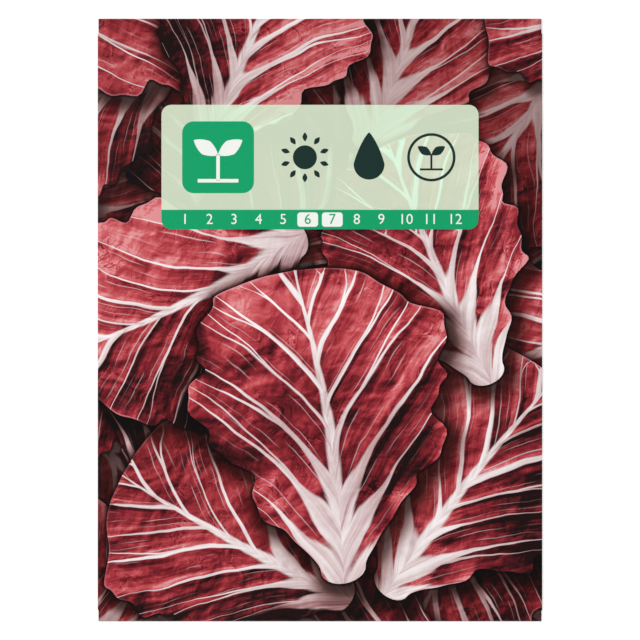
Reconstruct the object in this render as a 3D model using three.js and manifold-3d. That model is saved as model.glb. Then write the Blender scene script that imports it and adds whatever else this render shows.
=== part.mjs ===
// A flat paper seed packet, closed and lying on its back, in millimetres with +Z up.
// The origin is the middle of the footprint, on the surface that the packet lies on. +Y points to the packet's top edge.
// One paper blank is wrapped into a tube, glued along a back seam, and closed by a flap folded over the back at each end.
// Inside lies a flat sachet of two foil webs, and in the sachet a small drift of seeds.
import * as THREE from "three";
import { mergeVertices } from "three/addons/utils/BufferGeometryUtils.js";
import Module from "manifold-3d";

const wasm = await Module();
wasm.setup();

// The packet's outline and its paper.
const WIDTH = 118;
const LENGTH = 160;
const PAPER = 0.2;
const PLY_GAP = 0.15;

// Where each ply of the folded edges lies, counted up from the surface.
const BACK_Z = PAPER + PLY_GAP;
const FRONT_Z = BACK_Z + PAPER + PLY_GAP;
const EDGE_HEIGHT = FRONT_Z + PAPER;
const LEG = 0.6;

// The two end flaps, the back seam and the lines of glue.
const FLAP_INSET = 0.1;
const FLAP_HALF_WIDTH = WIDTH / 2 - FLAP_INSET;
const TOP_FLAP = { depth: 20, taper: 6, corner: 3, glueFrom: 10, glueTo: 16, glueHalfWidth: 50, mouth: 4 };
const BOTTOM_FLAP = { depth: 14, taper: 5, corner: 3, glueFrom: 5, glueTo: 11, glueHalfWidth: 52, mouth: 3 };
const SEAM_X = 20;
const SEAM_OVERLAP = 12;
const SEAM_RELAX = 14;
const STEP = 0.02;

// The foil sachet, which has slid to the bottom of the packet, and the seeds gathered in it.
const CLEAR = 0.25;
const FOIL = 0.15;
const SACHET = { halfWidth: 36, bottom: -72, top: 32, seal: 7, teeth: 24, tooth: 1 };
const SACHET_Z = 2 * PAPER + CLEAR;
const SACHET_RUN = 10;
const SACHET_SLACK = 0.3;

// One seed, with its outline as radii in widths at heights in half lengths.
const SEED = { length: 2.8, width: 1.35, thickness: 0.95, sides: 5 };
const SEED_OUTLINE = [
  [0, -1],
  [0.4, -0.45],
  [0.5, 0.6],
  [0, 1],
];
const DRIFT = { x: 3, y: -34, halfLength: 13, halfWidth: 8.5, spacing: 1.9, shuffle: 0.4, tilt: 0.12, seed: 41 };
const HEAP = { x: DRIFT.x, y: DRIFT.y, halfLength: 30, halfWidth: 23, rise: 1.25 };

// How far the front stands off the back over the empty part of the sachet, and how far over the seeds.
const FRONT_RISE = 1.0;
const SEED_RISE = 1.3;
const SIDE_RUN = 16;
const END_RUN = 9;

// How far from the folds and the flaps the back comes down to the surface.
const BACK_SIDE_RUN = 9;
const BACK_END_RUN = 8;
const FLAP_CLEAR = 1;

const smooth = (t) => THREE.MathUtils.smoothstep(t, 0, 1);

// 1 over the middle of the drift of seeds, flat there, and 0 well outside it.
function overSeeds(x, y) {
  const rho = ((x - HEAP.x) / HEAP.halfLength) ** 2 + ((y - HEAP.y) / HEAP.halfWidth) ** 2;
  return Math.exp(-rho * rho);
}

// The inner face of the front ply.
function frontInside(x, y) {
  const fromSide = smooth((WIDTH / 2 - LEG - Math.abs(x)) / SIDE_RUN);
  const fromEnd = smooth((LENGTH / 2 - LEG - Math.abs(y)) / END_RUN);
  return FRONT_Z + (FRONT_RISE + SEED_RISE * overSeeds(x, y)) * fromSide * fromEnd;
}

// 1 where the back lies down on the surface between the two flaps, 0 over the flaps and at the side folds.
function backSag(x, y) {
  const fromSide = smooth((WIDTH / 2 - LEG - Math.abs(x)) / BACK_SIDE_RUN);
  const fromTop = smooth((LENGTH / 2 - TOP_FLAP.depth - FLAP_CLEAR - y) / BACK_END_RUN);
  const fromBottom = smooth((y + LENGTH / 2 - BOTTOM_FLAP.depth - FLAP_CLEAR) / BACK_END_RUN);
  return fromSide * fromTop * fromBottom;
}

// The outer face of the back. Left of the seam the ply lies on the other one's edge, and then comes down to the surface.
function backOutside(x, y) {
  const lifted = x < SEAM_X - STEP / 2 ? 1 - smooth((SEAM_X - x - STEP) / SEAM_RELAX) : 0;
  const sag = backSag(x, y);
  return BACK_Z * (1 - sag) + PAPER * lifted * sag;
}

// The inner face of the back, which is two plies thick where the seam is glued.
function backInside(x, y) {
  const doubled = x > SEAM_X - STEP / 2 && x < SEAM_X + SEAM_OVERLAP + STEP / 2;
  return backOutside(x, y) + PAPER + (doubled ? PAPER * backSag(x, y) : 0);
}

// The inner face of the sachet's front web, counted from the web's place in the flat seal.
function sachetRise(x, y) {
  const inX = smooth((SACHET.halfWidth - SACHET.seal - Math.abs(x)) / SACHET_RUN);
  const inTop = smooth((SACHET.top - SACHET.seal - y) / SACHET_RUN);
  const inBottom = smooth((y - SACHET.bottom - SACHET.seal) / SACHET_RUN);
  return (SACHET_SLACK + HEAP.rise * overSeeds(x, y)) * inX * inTop * inBottom;
}

// A geometry as a manifold-3d solid: shared corners merged, and the triangles that collapse at a pole dropped.
function solidOf(geometry) {
  const bare = new THREE.BufferGeometry();
  bare.setAttribute("position", geometry.getAttribute("position"));
  if (geometry.index) bare.setIndex(geometry.index);
  const merged = mergeVertices(bare, 1e-4);
  const corners = merged.index.array;
  const kept = [];
  for (let i = 0; i < corners.length; i += 3) {
    const [a, b, c] = corners.slice(i, i + 3);
    if (a !== b && b !== c && c !== a) kept.push(a, b, c);
  }
  const vertProperties = merged.getAttribute("position").array;
  return new wasm.Manifold(new wasm.Mesh({ numProp: 3, vertProperties, triVerts: new Uint32Array(kept) }));
}

function geometryOf(solid) {
  const made = solid.getMesh();
  const geometry = new THREE.BufferGeometry();
  geometry.setAttribute("position", new THREE.BufferAttribute(made.vertProperties, 3));
  geometry.setIndex(new THREE.BufferAttribute(made.triVerts, 1));
  geometry.computeVertexNormals();
  return geometry;
}

const joined = (geometries) => geometries.map(solidOf).reduce((whole, piece) => whole.add(piece));

// Evenly spaced stations from one value to another, with any extra ones sorted in.
function stations(from, to, count, extra = []) {
  const even = Array.from({ length: count + 1 }, (_, i) => from + ((to - from) * i) / count);
  return [...even, ...extra].sort((a, b) => a - b);
}

// A closed sheet between two height functions: one plane grid used for both faces, and a wall round its border.
function curvedSheet(xs, ys, low, high) {
  const columns = xs.length;
  const rows = ys.length;
  const grid = new THREE.PlaneGeometry(1, 1, columns - 1, rows - 1).index.array;
  const downward = [...ys].reverse();
  const face = (height) => downward.flatMap((y) => xs.flatMap((x) => [x, y, height(x, y)]));
  const top = columns * rows;
  const index = [];
  for (let i = 0; i < grid.length; i += 3) {
    const [a, b, c] = grid.slice(i, i + 3);
    index.push(a, c, b, top + a, top + b, top + c);
  }
  const border = [];
  for (let j = 0; j < rows - 1; j++) border.push(j * columns);
  for (let i = 0; i < columns - 1; i++) border.push((rows - 1) * columns + i);
  for (let j = rows - 1; j > 0; j--) border.push(j * columns + columns - 1);
  for (let i = columns - 1; i > 0; i--) border.push(i);
  border.forEach((from, k) => {
    const to = border[(k + 1) % border.length];
    index.push(from, to, top + to, from, top + to, top + from);
  });
  const geometry = new THREE.BufferGeometry();
  geometry.setAttribute("position", new THREE.Float32BufferAttribute([...face(low), ...face(high)], 3));
  geometry.setIndex(index);
  return geometry;
}

// Paper turned round a fold: a half ring with two short legs, run along the folded edge.
function foldRoll(outward, height, low, length) {
  const outer = height / 2;
  const inner = outer - PAPER;
  const profile = new THREE.Shape();
  profile.moveTo(-LEG, outer);
  profile.lineTo(0, outer);
  profile.absarc(0, 0, outer, Math.PI / 2, -Math.PI / 2, true);
  profile.lineTo(-LEG, -outer);
  profile.lineTo(-LEG, -inner);
  profile.lineTo(0, -inner);
  profile.absarc(0, 0, inner, -Math.PI / 2, Math.PI / 2, false);
  profile.lineTo(-LEG, inner);
  profile.closePath();
  const roll = new THREE.ExtrudeGeometry(profile, { depth: length, bevelEnabled: false, curveSegments: 6 });
  const up = new THREE.Vector3(0, 0, 1);
  const along = new THREE.Vector3().crossVectors(outward, up);
  const half = Math.abs(outward.x) * (WIDTH / 2) + Math.abs(outward.y) * (LENGTH / 2);
  const start = outward.clone().multiplyScalar(half - outer).addScaledVector(up, low + outer);
  start.addScaledVector(along, -length / 2);
  return roll.applyMatrix4(new THREE.Matrix4().makeBasis(outward, up, along).setPosition(start));
}

// A side fold runs from mouth to mouth of the paper tube.
function sideFold(side) {
  const shift = (BOTTOM_FLAP.mouth - TOP_FLAP.mouth) / 2;
  const length = LENGTH - BOTTOM_FLAP.mouth - TOP_FLAP.mouth;
  const roll = foldRoll(new THREE.Vector3(side, 0, 0), EDGE_HEIGHT - BACK_Z, BACK_Z, length);
  return roll.translate(0, shift, 0);
}

const endFold = (end) => foldRoll(new THREE.Vector3(0, end, 0), EDGE_HEIGHT, 0, 2 * FLAP_HALF_WIDTH);

// An end flap lies flat on the surface, narrower at its free edge, with rounded corners.
function flap(end, { depth, taper, corner }) {
  const root = LENGTH / 2 - EDGE_HEIGHT / 2;
  const free = LENGTH / 2 - depth;
  const tip = FLAP_HALF_WIDTH - taper;
  const outline = new THREE.Shape();
  outline.moveTo(-FLAP_HALF_WIDTH, root);
  outline.lineTo(-tip - corner * 0.25, free + corner);
  outline.quadraticCurveTo(-tip, free, -tip + corner, free);
  outline.lineTo(tip - corner, free);
  outline.quadraticCurveTo(tip, free, tip + corner * 0.25, free + corner);
  outline.lineTo(FLAP_HALF_WIDTH, root);
  outline.closePath();
  const plate = new THREE.ExtrudeGeometry(outline, { depth: PAPER, bevelEnabled: false, curveSegments: 3 });
  return end > 0 ? plate : plate.rotateZ(Math.PI);
}

// The line of glue that holds a flap to the back, sunk a little into both plies.
function glueLine(end, { glueFrom, glueTo, glueHalfWidth }) {
  const sink = PAPER / 4;
  const line = new THREE.BoxGeometry(2 * glueHalfWidth, glueTo - glueFrom, PLY_GAP + 2 * sink);
  return line.translate(0, end * (LENGTH / 2 - (glueFrom + glueTo) / 2), PAPER + PLY_GAP / 2);
}

function frontPly() {
  const halfX = (WIDTH - EDGE_HEIGHT + BACK_Z) / 2;
  const halfY = (LENGTH - EDGE_HEIGHT) / 2;
  const xs = stations(-halfX, halfX, 20, [-halfX + LEG, halfX - LEG]);
  const ys = stations(-halfY, halfY, 26, [-halfY + LEG, halfY - LEG]);
  return curvedSheet(xs, ys, frontInside, (x, y) => frontInside(x, y) + PAPER);
}

function backPly() {
  const halfX = (WIDTH - EDGE_HEIGHT + BACK_Z) / 2;
  const seam = [SEAM_X - STEP, SEAM_X, SEAM_X + SEAM_OVERLAP, SEAM_X + SEAM_OVERLAP + STEP];
  const xs = stations(-halfX, halfX, 12, [-halfX + LEG, halfX - LEG, ...seam]);
  const low = -LENGTH / 2 + BOTTOM_FLAP.mouth;
  const high = LENGTH / 2 - TOP_FLAP.mouth;
  return curvedSheet(xs, stations(low, high, 18), backOutside, backInside);
}

// The whole envelope: one folded and glued blank.
function paperPacket() {
  const folded = [
    frontPly(),
    backPly(),
    sideFold(-1),
    sideFold(1),
    endFold(1),
    endFold(-1),
    flap(1, TOP_FLAP),
    flap(-1, BOTTOM_FLAP),
    glueLine(1, TOP_FLAP),
    glueLine(-1, BOTTOM_FLAP),
  ];
  return geometryOf(joined(folded));
}

// The outline that both foil webs are cut to: the packing line's knife leaves toothed ends.
function sachetOutline() {
  const outline = new THREE.Shape();
  const pitch = (2 * SACHET.halfWidth) / SACHET.teeth;
  const toothedEnd = (y, direction) => {
    for (let i = 0; i < SACHET.teeth; i++) {
      const x = direction * (i * pitch - SACHET.halfWidth);
      outline.lineTo(x + (direction * pitch) / 2, y + direction * SACHET.tooth);
      outline.lineTo(x + direction * pitch, y);
    }
  };
  outline.moveTo(-SACHET.halfWidth, SACHET.bottom);
  toothedEnd(SACHET.bottom, 1);
  outline.lineTo(SACHET.halfWidth, SACHET.top);
  toothedEnd(SACHET.top, -1);
  return outline;
}

const sachetBlock = (low, height) => {
  const block = new THREE.ExtrudeGeometry(sachetOutline(), { depth: height, bevelEnabled: false });
  return block.translate(0, 0, low);
};

const sachetBack = () => geometryOf(solidOf(sachetBlock(SACHET_Z, FOIL)));

// The front web lies in the flat seal all round and rises over the seeds. It is cut from a sheet a little larger.
function sachetFront() {
  const seat = SACHET_Z + FOIL + CLEAR;
  const low = (x, y) => seat + sachetRise(x, y);
  const past = SACHET.tooth;
  const xs = stations(-SACHET.halfWidth - past, SACHET.halfWidth + past, 16);
  const ys = stations(SACHET.bottom - past, SACHET.top + past, 22);
  const sheet = solidOf(curvedSheet(xs, ys, low, (x, y) => low(x, y) + FOIL));
  const tallest = seat + SACHET_SLACK + HEAP.rise + 2 * FOIL;
  return geometryOf(sheet.intersect(solidOf(sachetBlock(0, tallest))));
}

// One seed: a small wedge-shaped grain, blunt at its crown and narrow at its foot.
function seedGeometry() {
  const profile = SEED_OUTLINE.map(([r, y]) => new THREE.Vector2(r * SEED.width, (y * SEED.length) / 2));
  const grain = new THREE.LatheGeometry(profile, SEED.sides);
  return grain.scale(1, 1, SEED.thickness / SEED.width);
}

// A repeatable stream of numbers from 0 to 1.
function drawsFrom(seed) {
  const range = 2 ** 32;
  const factor = 1664525;
  const step = 1013904223;
  let state = seed;
  return () => {
    state = (state * factor + step) % range;
    return state / range;
  };
}

// The seeds lie in one layer, turned every way, each a little into the next so that the drift holds together.
function seedDrift() {
  const draw = drawsFrom(DRIFT.seed);
  const floor = SACHET_Z + FOIL + CLEAR;
  const rowStep = (DRIFT.spacing * Math.sqrt(3)) / 2;
  const rows = Math.ceil(DRIFT.halfWidth / rowStep);
  const columns = Math.ceil(DRIFT.halfLength / DRIFT.spacing);
  const grains = [];
  for (let row = -rows; row <= rows; row++) {
    for (let column = -columns; column <= columns; column++) {
      const x = (column + (row % 2 ? 0.5 : 0)) * DRIFT.spacing + (draw() - 0.5) * DRIFT.shuffle;
      const y = row * rowStep + (draw() - 0.5) * DRIFT.shuffle;
      const turn = draw() * 2 * Math.PI;
      const tilt = (draw() - 0.5) * DRIFT.tilt;
      if ((x / DRIFT.halfLength) ** 2 + (y / DRIFT.halfWidth) ** 2 > 1) continue;
      const lift = floor + SEED.thickness / 2 + (SEED.length / 2) * Math.abs(Math.sin(tilt));
      const turned = new THREE.Euler(tilt, 0, turn, "ZXY");
      const place = new THREE.Matrix4().makeRotationFromEuler(turned).setPosition(DRIFT.x + x, DRIFT.y + y, lift);
      grains.push(seedGeometry().applyMatrix4(place));
    }
  }
  const whole = joined(grains);
  const bodies = whole.decompose().sort((a, b) => b.volume() - a.volume());
  return geometryOf(bodies[0]);
}

function named(name, geometry, colour, roughness, metalness) {
  const material = new THREE.MeshStandardMaterial({ color: colour, roughness, metalness });
  const mesh = new THREE.Mesh(geometry, material);
  mesh.name = name;
  return mesh;
}

const packet = new THREE.Group();
packet.add(named("paper_packet", paperPacket(), 0x9b2c40, 0.42, 0));
packet.add(named("sachet_back_web", sachetBack(), 0xc9ccd0, 0.35, 0.8));
packet.add(named("sachet_front_web", sachetFront(), 0xc9ccd0, 0.35, 0.8));
packet.add(named("seeds", seedDrift(), 0xa98a5c, 0.7, 0));

export default packet;
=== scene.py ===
"""A closed paper seed packet that lies on its back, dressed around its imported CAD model.

The packet is one printed blank: a front ply, a rolled fold down each side, a back with a glued seam, and
a flap folded over the back at each end. Inside lie a foil sachet and a drift of seeds. Forms are worked
out in millimetres, with the same formulas as the solids, and each mesh is stored in metres.
"""

import contextlib
import itertools
import logging
import math
from collections.abc import Callable, Iterator, Sequence
from dataclasses import dataclass, field
from enum import Enum
from typing import ClassVar

import bmesh
import bpy
import numpy as np
from mathutils import Euler, Matrix, Vector
from mathutils.geometry import delaunay_2d_cdt


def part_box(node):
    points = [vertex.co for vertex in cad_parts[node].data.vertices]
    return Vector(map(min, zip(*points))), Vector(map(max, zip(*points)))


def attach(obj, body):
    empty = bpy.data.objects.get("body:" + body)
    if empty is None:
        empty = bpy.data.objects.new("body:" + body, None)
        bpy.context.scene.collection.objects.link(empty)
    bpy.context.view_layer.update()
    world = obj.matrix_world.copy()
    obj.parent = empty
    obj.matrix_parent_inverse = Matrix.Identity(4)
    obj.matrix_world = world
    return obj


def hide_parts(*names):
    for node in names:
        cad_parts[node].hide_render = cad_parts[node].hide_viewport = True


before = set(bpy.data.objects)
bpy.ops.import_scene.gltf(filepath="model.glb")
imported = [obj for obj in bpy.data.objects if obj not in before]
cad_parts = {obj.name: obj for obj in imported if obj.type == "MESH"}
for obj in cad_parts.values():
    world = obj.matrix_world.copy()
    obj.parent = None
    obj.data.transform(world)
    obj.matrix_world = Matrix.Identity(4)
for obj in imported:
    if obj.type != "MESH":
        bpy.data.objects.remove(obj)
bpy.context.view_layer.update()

MM = 0.001
BODY = "root"

Array = np.ndarray
Object = bpy.types.Object
Material = bpy.types.Material
Mesh = bpy.types.Mesh
Socket = bpy.types.NodeSocket
Colour = tuple[float, float, float]
Stops = tuple[tuple[float, Colour], ...]
Pair = tuple[float, float]

EMERALD: Colour = (0.006, 0.345, 0.135)
SIGN_DARK: Colour = (0.010, 0.030, 0.026)

# A Mix node holds its colour sockets after those for numbers and vectors.
MIX_INPUTS = (0, 6, 7)
MIX_OUTPUT = 2

log = logging.getLogger("seed_packet")


class Ink(Enum):
    """What a face of the paper blank is printed with, in the order of its material slots."""

    LEAVES = 0
    LABEL = 1
    STRIPE = 2
    BACK = 3
    FLAP = 4
    BARE = 5


def smooth(t: Array | float) -> Array | float:
    """Ease from 0 to 1 as t runs from 0 to 1, and stay level outside that."""
    held = np.clip(t, 0.0, 1.0)
    return held * held * (3.0 - 2.0 * held)


@dataclass(frozen=True)
class PacketForm:
    """The folded packet's sizes and heights in millimetres, as the solids have them."""

    half_width: float
    half_length: float
    heap_x: float
    heap_y: float
    paper: float = 0.2
    ply_gap: float = 0.15
    leg: float = 0.6
    side_run: float = 16.0
    end_run: float = 9.0
    front_rise: float = 1.0
    seed_rise: float = 1.3
    heap_half_length: float = 30.0
    heap_half_width: float = 23.0
    seam_x: float = 20.0
    seam_overlap: float = 12.0
    seam_relax: float = 14.0
    top_flap: float = 20.0
    bottom_flap: float = 14.0
    top_mouth: float = 4.0
    bottom_mouth: float = 3.0
    flap_clear: float = 1.0
    back_side_run: float = 9.0
    back_end_run: float = 8.0
    pressed_band: float = 1.5
    pressed_drop: float = 0.15
    score_inset: float = 1.15
    score_width: float = 0.14
    score_depth: float = 0.03
    sachet_half_width: float = 37.5
    sachet_top: float = 33.5
    sachet_bottom: float = -73.5
    sachet_ease: float = 3.0
    sachet_step: float = 0.1
    knob_height: float = 0.07

    @property
    def back_z(self) -> float:
        """The outer face of the back ply where it lies over a flap."""
        return self.paper + self.ply_gap

    @property
    def front_z(self) -> float:
        """The outer face of the front ply at the folded edges."""
        return self.back_z + 2.0 * self.paper + self.ply_gap

    @property
    def side_roll(self) -> float:
        """How far the side folds curl out past the front ply."""
        return (self.front_z - self.pressed_drop - self.back_z) / 2.0

    @property
    def end_roll(self) -> float:
        """How far the end folds curl out past the front ply."""
        return (self.front_z - self.pressed_drop) / 2.0

    @property
    def panel_x(self) -> float:
        """Half the width of the front ply between its side folds."""
        return self.half_width - self.side_roll

    @property
    def panel_y(self) -> float:
        """Half the length of the front ply between its end folds."""
        return self.half_length - self.end_roll

    @property
    def score_x(self) -> float:
        """Where the score line beside each side fold lies."""
        return self.half_width - self.score_inset

    def over_seeds(self, x: Array, y: Array) -> Array:
        """Give 1 over the middle of the seeds, flat there, and 0 well outside them."""
        across, along = (x - self.heap_x) / self.heap_half_length, (y - self.heap_y) / self.heap_half_width
        return np.exp(-((across**2 + along**2) ** 2))

    def relief(self, x: Array, y: Array) -> Array:
        """The paper's own unevenness: slow waves, and the sachet's edge and the seeds pressing through.

        Args:
            x: Places across the packet.
            y: Places along it.

        Returns:
            The heights.
        """
        waves = 0.05 * np.sin(0.071 * x + 0.043 * y + 0.8) + 0.04 * np.sin(0.052 * x - 0.094 * y + 2.1)
        edge = self.sachet_ease
        above = smooth((self.sachet_top - y) / edge) * smooth((y - self.sachet_bottom) / edge)
        sachet = above * smooth((self.sachet_half_width - np.abs(x)) / edge)
        rows = np.sin(1.9 * x + 0.7 * y + 1.3 * np.sin(0.5 * y))
        columns = np.sin(1.7 * y - 0.8 * x + 1.1 * np.sin(0.6 * x))
        pressed = self.over_seeds(1.9 * x - 0.9 * self.heap_x, 2.1 * y - 1.1 * self.heap_y)
        return waves + self.sachet_step * sachet + self.knob_height * rows * columns * pressed

    def front_top(self, x: Array, y: Array) -> Array:
        """The outer face of the front ply.

        Args:
            x: Places across the packet.
            y: Places along it.

        Returns:
            The heights.
        """
        side = smooth((self.half_width - self.leg - np.abs(x)) / self.side_run)
        end = smooth((self.half_length - self.leg - np.abs(y)) / self.end_run)
        rise = self.front_rise + self.seed_rise * self.over_seeds(x, y) + self.relief(x, y)
        from_side = smooth((self.half_width - np.abs(x)) / self.pressed_band)
        from_end = smooth((self.half_length - np.abs(y)) / self.pressed_band)
        pressed = self.pressed_drop * (1.0 - from_side * from_end)
        score = self.score_depth * np.exp(-(((self.score_x - np.abs(x)) / self.score_width) ** 2))
        return self.front_z + rise * side * end - pressed - score

    def sag(self, x: Array, y: Array) -> Array:
        """Give 1 where the back lies on the surface and 0 over the flaps and at the side folds.

        Args:
            x: Places across the packet.
            y: Places along it.

        Returns:
            The shares.
        """
        side = smooth((self.half_width - self.leg - np.abs(x)) / self.back_side_run)
        above = self.half_length - self.top_flap - self.flap_clear - y
        below = self.half_length - self.bottom_flap - self.flap_clear + y
        return side * smooth(above / self.back_end_run) * smooth(below / self.back_end_run)

    def back_outside(self, x: Array, y: Array) -> Array:
        """The outer face of the back, which lies on the other ply's edge just left of the seam.

        Args:
            x: Places across the packet.
            y: Places along it.

        Returns:
            The heights.
        """
        lifted = np.where(x < self.seam_x, 1.0 - smooth((self.seam_x - x) / self.seam_relax), 0.0)
        sag = self.sag(x, y)
        return self.back_z * (1.0 - sag) + self.paper * lifted * sag

    def back_tucked(self, x: Array, y: Array) -> Array:
        """The outer face of the seam's inner ply, which lies on the outer one."""
        return self.back_outside(np.maximum(x, self.seam_x), y) + self.paper


def by(operation: str) -> Callable[..., "Field"]:
    """Make a method that works out one of Blender's sums, by Blender's name of it."""
    return lambda *values: values[0].graph.math(operation, *values)


@dataclass(frozen=True, eq=False)
class Field:
    """A number, vector or colour that a material works out at every spot, open to Python's own sums."""

    graph: "Graph"
    socket: Socket

    __add__ = __radd__ = by("ADD")
    __sub__ = by("SUBTRACT")
    __mul__ = __rmul__ = by("MULTIPLY")
    __truediv__ = by("DIVIDE")
    __pow__ = by("POWER")
    __gt__ = by("GREATER_THAN")
    __lt__ = by("LESS_THAN")
    __abs__ = by("ABSOLUTE")
    at_least = by("MAXIMUM")
    floor = by("FLOOR")
    fract = by("FRACT")
    sqrt = by("SQRT")
    cos = by("COSINE")
    sin = by("SINE")

    def __rsub__(self, other: float) -> "Field":
        """Take this from a number."""
        return self.graph.math("SUBTRACT", other, self)


Value = float | Field
Ground = Field | Colour


class Graph:
    """A material's node tree, built by short calls on numbers, colours and fields."""

    def __init__(self, name: str) -> None:
        """Start an empty material.

        Args:
            name: The material's name.
        """
        self.material = bpy.data.materials.new(name)
        self.material.use_nodes = True
        self.tree = self.material.node_tree
        self.tree.nodes.clear()

    def put(self, socket: Socket, value: Value | Colour) -> None:
        """Link a field to a socket, or set the socket's own value.

        Args:
            socket: The input to fill.
            value: A field, a number or a colour.
        """
        if isinstance(value, Field):
            self.tree.links.new(value.socket, socket)
        elif isinstance(value, tuple):
            socket.default_value = (*value, 1.0)
        else:
            socket.default_value = value

    def make(
        self,
        kind: str,
        inputs: dict[str | int, Value | Colour],
        output: str | int = 0,
        **settings: str | bool,
    ) -> Field:
        """Add a node and fill its inputs.

        Args:
            kind: Blender's name of its kind.
            inputs: What its inputs are given, by their names or numbers.
            output: The name or number of the wanted output.
            settings: The properties to set on it.

        Returns:
            The wanted output.
        """
        made = self.tree.nodes.new(kind)
        for key, value in settings.items():
            setattr(made, key, value)
        for key, value in inputs.items():
            self.put(made.inputs[key], value)
        return Field(self, made.outputs[output])

    def math(self, operation: str, *values: Value, clamp: bool = False) -> Field:
        """Work out one sum by Blender's name of it, held between 0 and 1 if asked."""
        return self.make("ShaderNodeMath", dict(enumerate(values)), operation=operation, use_clamp=clamp)

    def fade(self, value: Value, zero: Value, one: Value) -> Field:
        """Ease from 0 to 1 as a value runs from one bound to the other, in either direction."""
        bounds = {"Value": value, "From Min": zero, "From Max": one}
        return self.make("ShaderNodeMapRange", bounds, interpolation_type="SMOOTHSTEP")

    def mix(self, share: Value, first: Ground, second: Ground, blend: str = "MIX") -> Field:
        """Blend two colours, by the second one's share."""
        inputs = dict(zip(MIX_INPUTS, (share, first, second)))
        return self.make("ShaderNodeMix", inputs, MIX_OUTPUT, data_type="RGBA", blend_type=blend)

    def vector(self, *values: Value) -> Field:
        """Join two or three values into a vector."""
        return self.make("ShaderNodeCombineXYZ", dict(enumerate(values)))

    def parts(self, vector: Field) -> list[Field]:
        """Take a vector or a colour apart into its three numbers."""
        first = self.make("ShaderNodeSeparateXYZ", {0: vector})
        return [Field(self, part) for part in first.socket.node.outputs]

    def map_pair(self, name: str) -> list[Field]:
        """Read the two numbers that one of the mesh's maps holds."""
        return self.parts(self.make("ShaderNodeUVMap", {}, uv_map=name))[:2]

    def place(self) -> list[Field]:
        """Read the object's own coordinates in metres, whole and as three numbers."""
        whole = self.make("ShaderNodeTexCoord", {}, "Object")
        return [whole, *self.parts(whole)]

    def noise(self, vector: Field, *shape: float) -> Field:
        """Read soft noise by its scale and, if they aren't Blender's own, detail, roughness and warp."""
        names = ("Vector", "Scale", "Detail", "Roughness", "Distortion")
        return self.make("ShaderNodeTexNoise", dict(zip(names, (vector, *shape))))

    def cell_edges(self, vector: Field, scale: float) -> Field:
        """Read the distance to the nearest border of a net of cells."""
        inputs = {"Vector": vector, "Scale": scale}
        return self.make("ShaderNodeTexVoronoi", inputs, feature="DISTANCE_TO_EDGE")

    def draw(self, number: Field) -> list[Field]:
        """Draw three numbers from 0 to 1 for each whole number."""
        drawn = self.make("ShaderNodeTexWhiteNoise", {"W": number}, "Color", noise_dimensions="1D")
        return self.parts(drawn)

    def ramp(self, value: Value, stops: Stops) -> Field:
        """Turn a number into a colour.

        Args:
            value: The number.
            stops: The colours, with the number that each stands at.

        Returns:
            The colour.
        """
        made = self.make("ShaderNodeValToRGB", {0: value})
        elements = made.socket.node.color_ramp.elements
        while len(elements) < len(stops):
            elements.new(0.5)
        for element, (position, colour) in zip(elements, stops):
            element.position = position
            element.color = (*colour, 1.0)
        return made

    def mottle(self, colour: Colour, shade: Colour, scale: float) -> Field:
        """Blend an ink unevenly into its darker shade, with so many spots to a metre."""
        return self.mix(self.noise(self.place()[0], scale, 3.0, 0.6), colour, shade)

    def finish(
        self,
        colour: Ground,
        roughness: Value,
        height: Field,
        depth: float,
        **sockets: float | Colour,
    ) -> Material:
        """Close the tree with a principled shader over a bump.

        Args:
            colour: The surface's colour.
            roughness: Its roughness.
            height: The bump's height, from 0 to 1.
            depth: What a height of 1 stands for, in metres.
            sockets: Other sockets of the shader, by name with underscores, and their fixed values.

        Returns:
            The finished material.
        """
        bump = self.make("ShaderNodeBump", {"Distance": depth, "Height": height})
        inputs = {key.replace("_", " "): value for key, value in sockets.items()}
        inputs |= {"Base Color": colour, "Roughness": roughness, "Normal": bump}
        shader = self.make("ShaderNodeBsdfPrincipled", inputs)
        out = self.tree.nodes.new("ShaderNodeOutputMaterial")
        self.put(out.inputs["Surface"], shader)
        return self.material


def darker(colour: Colour, share: float) -> Colour:
    """Give a colour with a share of its light."""
    return tuple(share * part for part in colour)


@dataclass(frozen=True)
class PaperFinish:
    """The satin coat of printed paper: its gloss and the faint grain of its fibres."""

    roughness: float = 0.5
    roughness_spread: float = 0.1
    specular: float = 0.08
    fibre_scale: float = 2600.0
    cloud_scale: float = 300.0
    grain_depth: float = 0.000012
    core: Colour = (0.86, 0.84, 0.79)
    core_shade: Colour = (0.76, 0.73, 0.66)
    core_speck: Colour = (0.55, 0.48, 0.38)
    core_depth: float = 0.00003
    core_roughness: float = 0.8
    core_specular: float = 0.2

    def coat(self, graph: Graph, colour: Ground) -> Material:
        """Lay the coat over a printed colour.

        Args:
            graph: The material's tree.
            colour: The ink's colour.

        Returns:
            The finished material.
        """
        place = graph.place()[0]
        fibres = graph.noise(place, self.fibre_scale, 3.0, 0.6)
        clouds = graph.noise(place, self.cloud_scale)
        height = fibres * 0.6 + clouds * 0.4
        gloss = (clouds - 0.5) * self.roughness_spread + self.roughness
        return graph.finish(colour, gloss, height, self.grain_depth, Specular_IOR_Level=self.specular)

    def bare(self) -> Material:
        """Make the unprinted inside and cut edges of the sheet.

        Returns:
            The finished material.
        """
        graph = Graph("bare_paper")
        place = graph.place()[0]
        specks = graph.fade(graph.noise(place, 1900.0, 4.0, 0.7), 0.6, 0.75)
        fibres = graph.noise(place, 700.0, 4.0, 0.65, 1.5)
        colour = graph.mix(specks * 0.35, graph.mix(fibres, self.core, self.core_shade), self.core_speck)
        shine = {"Specular_IOR_Level": self.core_specular}
        return graph.finish(colour, self.core_roughness, fibres, self.core_depth, **shine)


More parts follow.
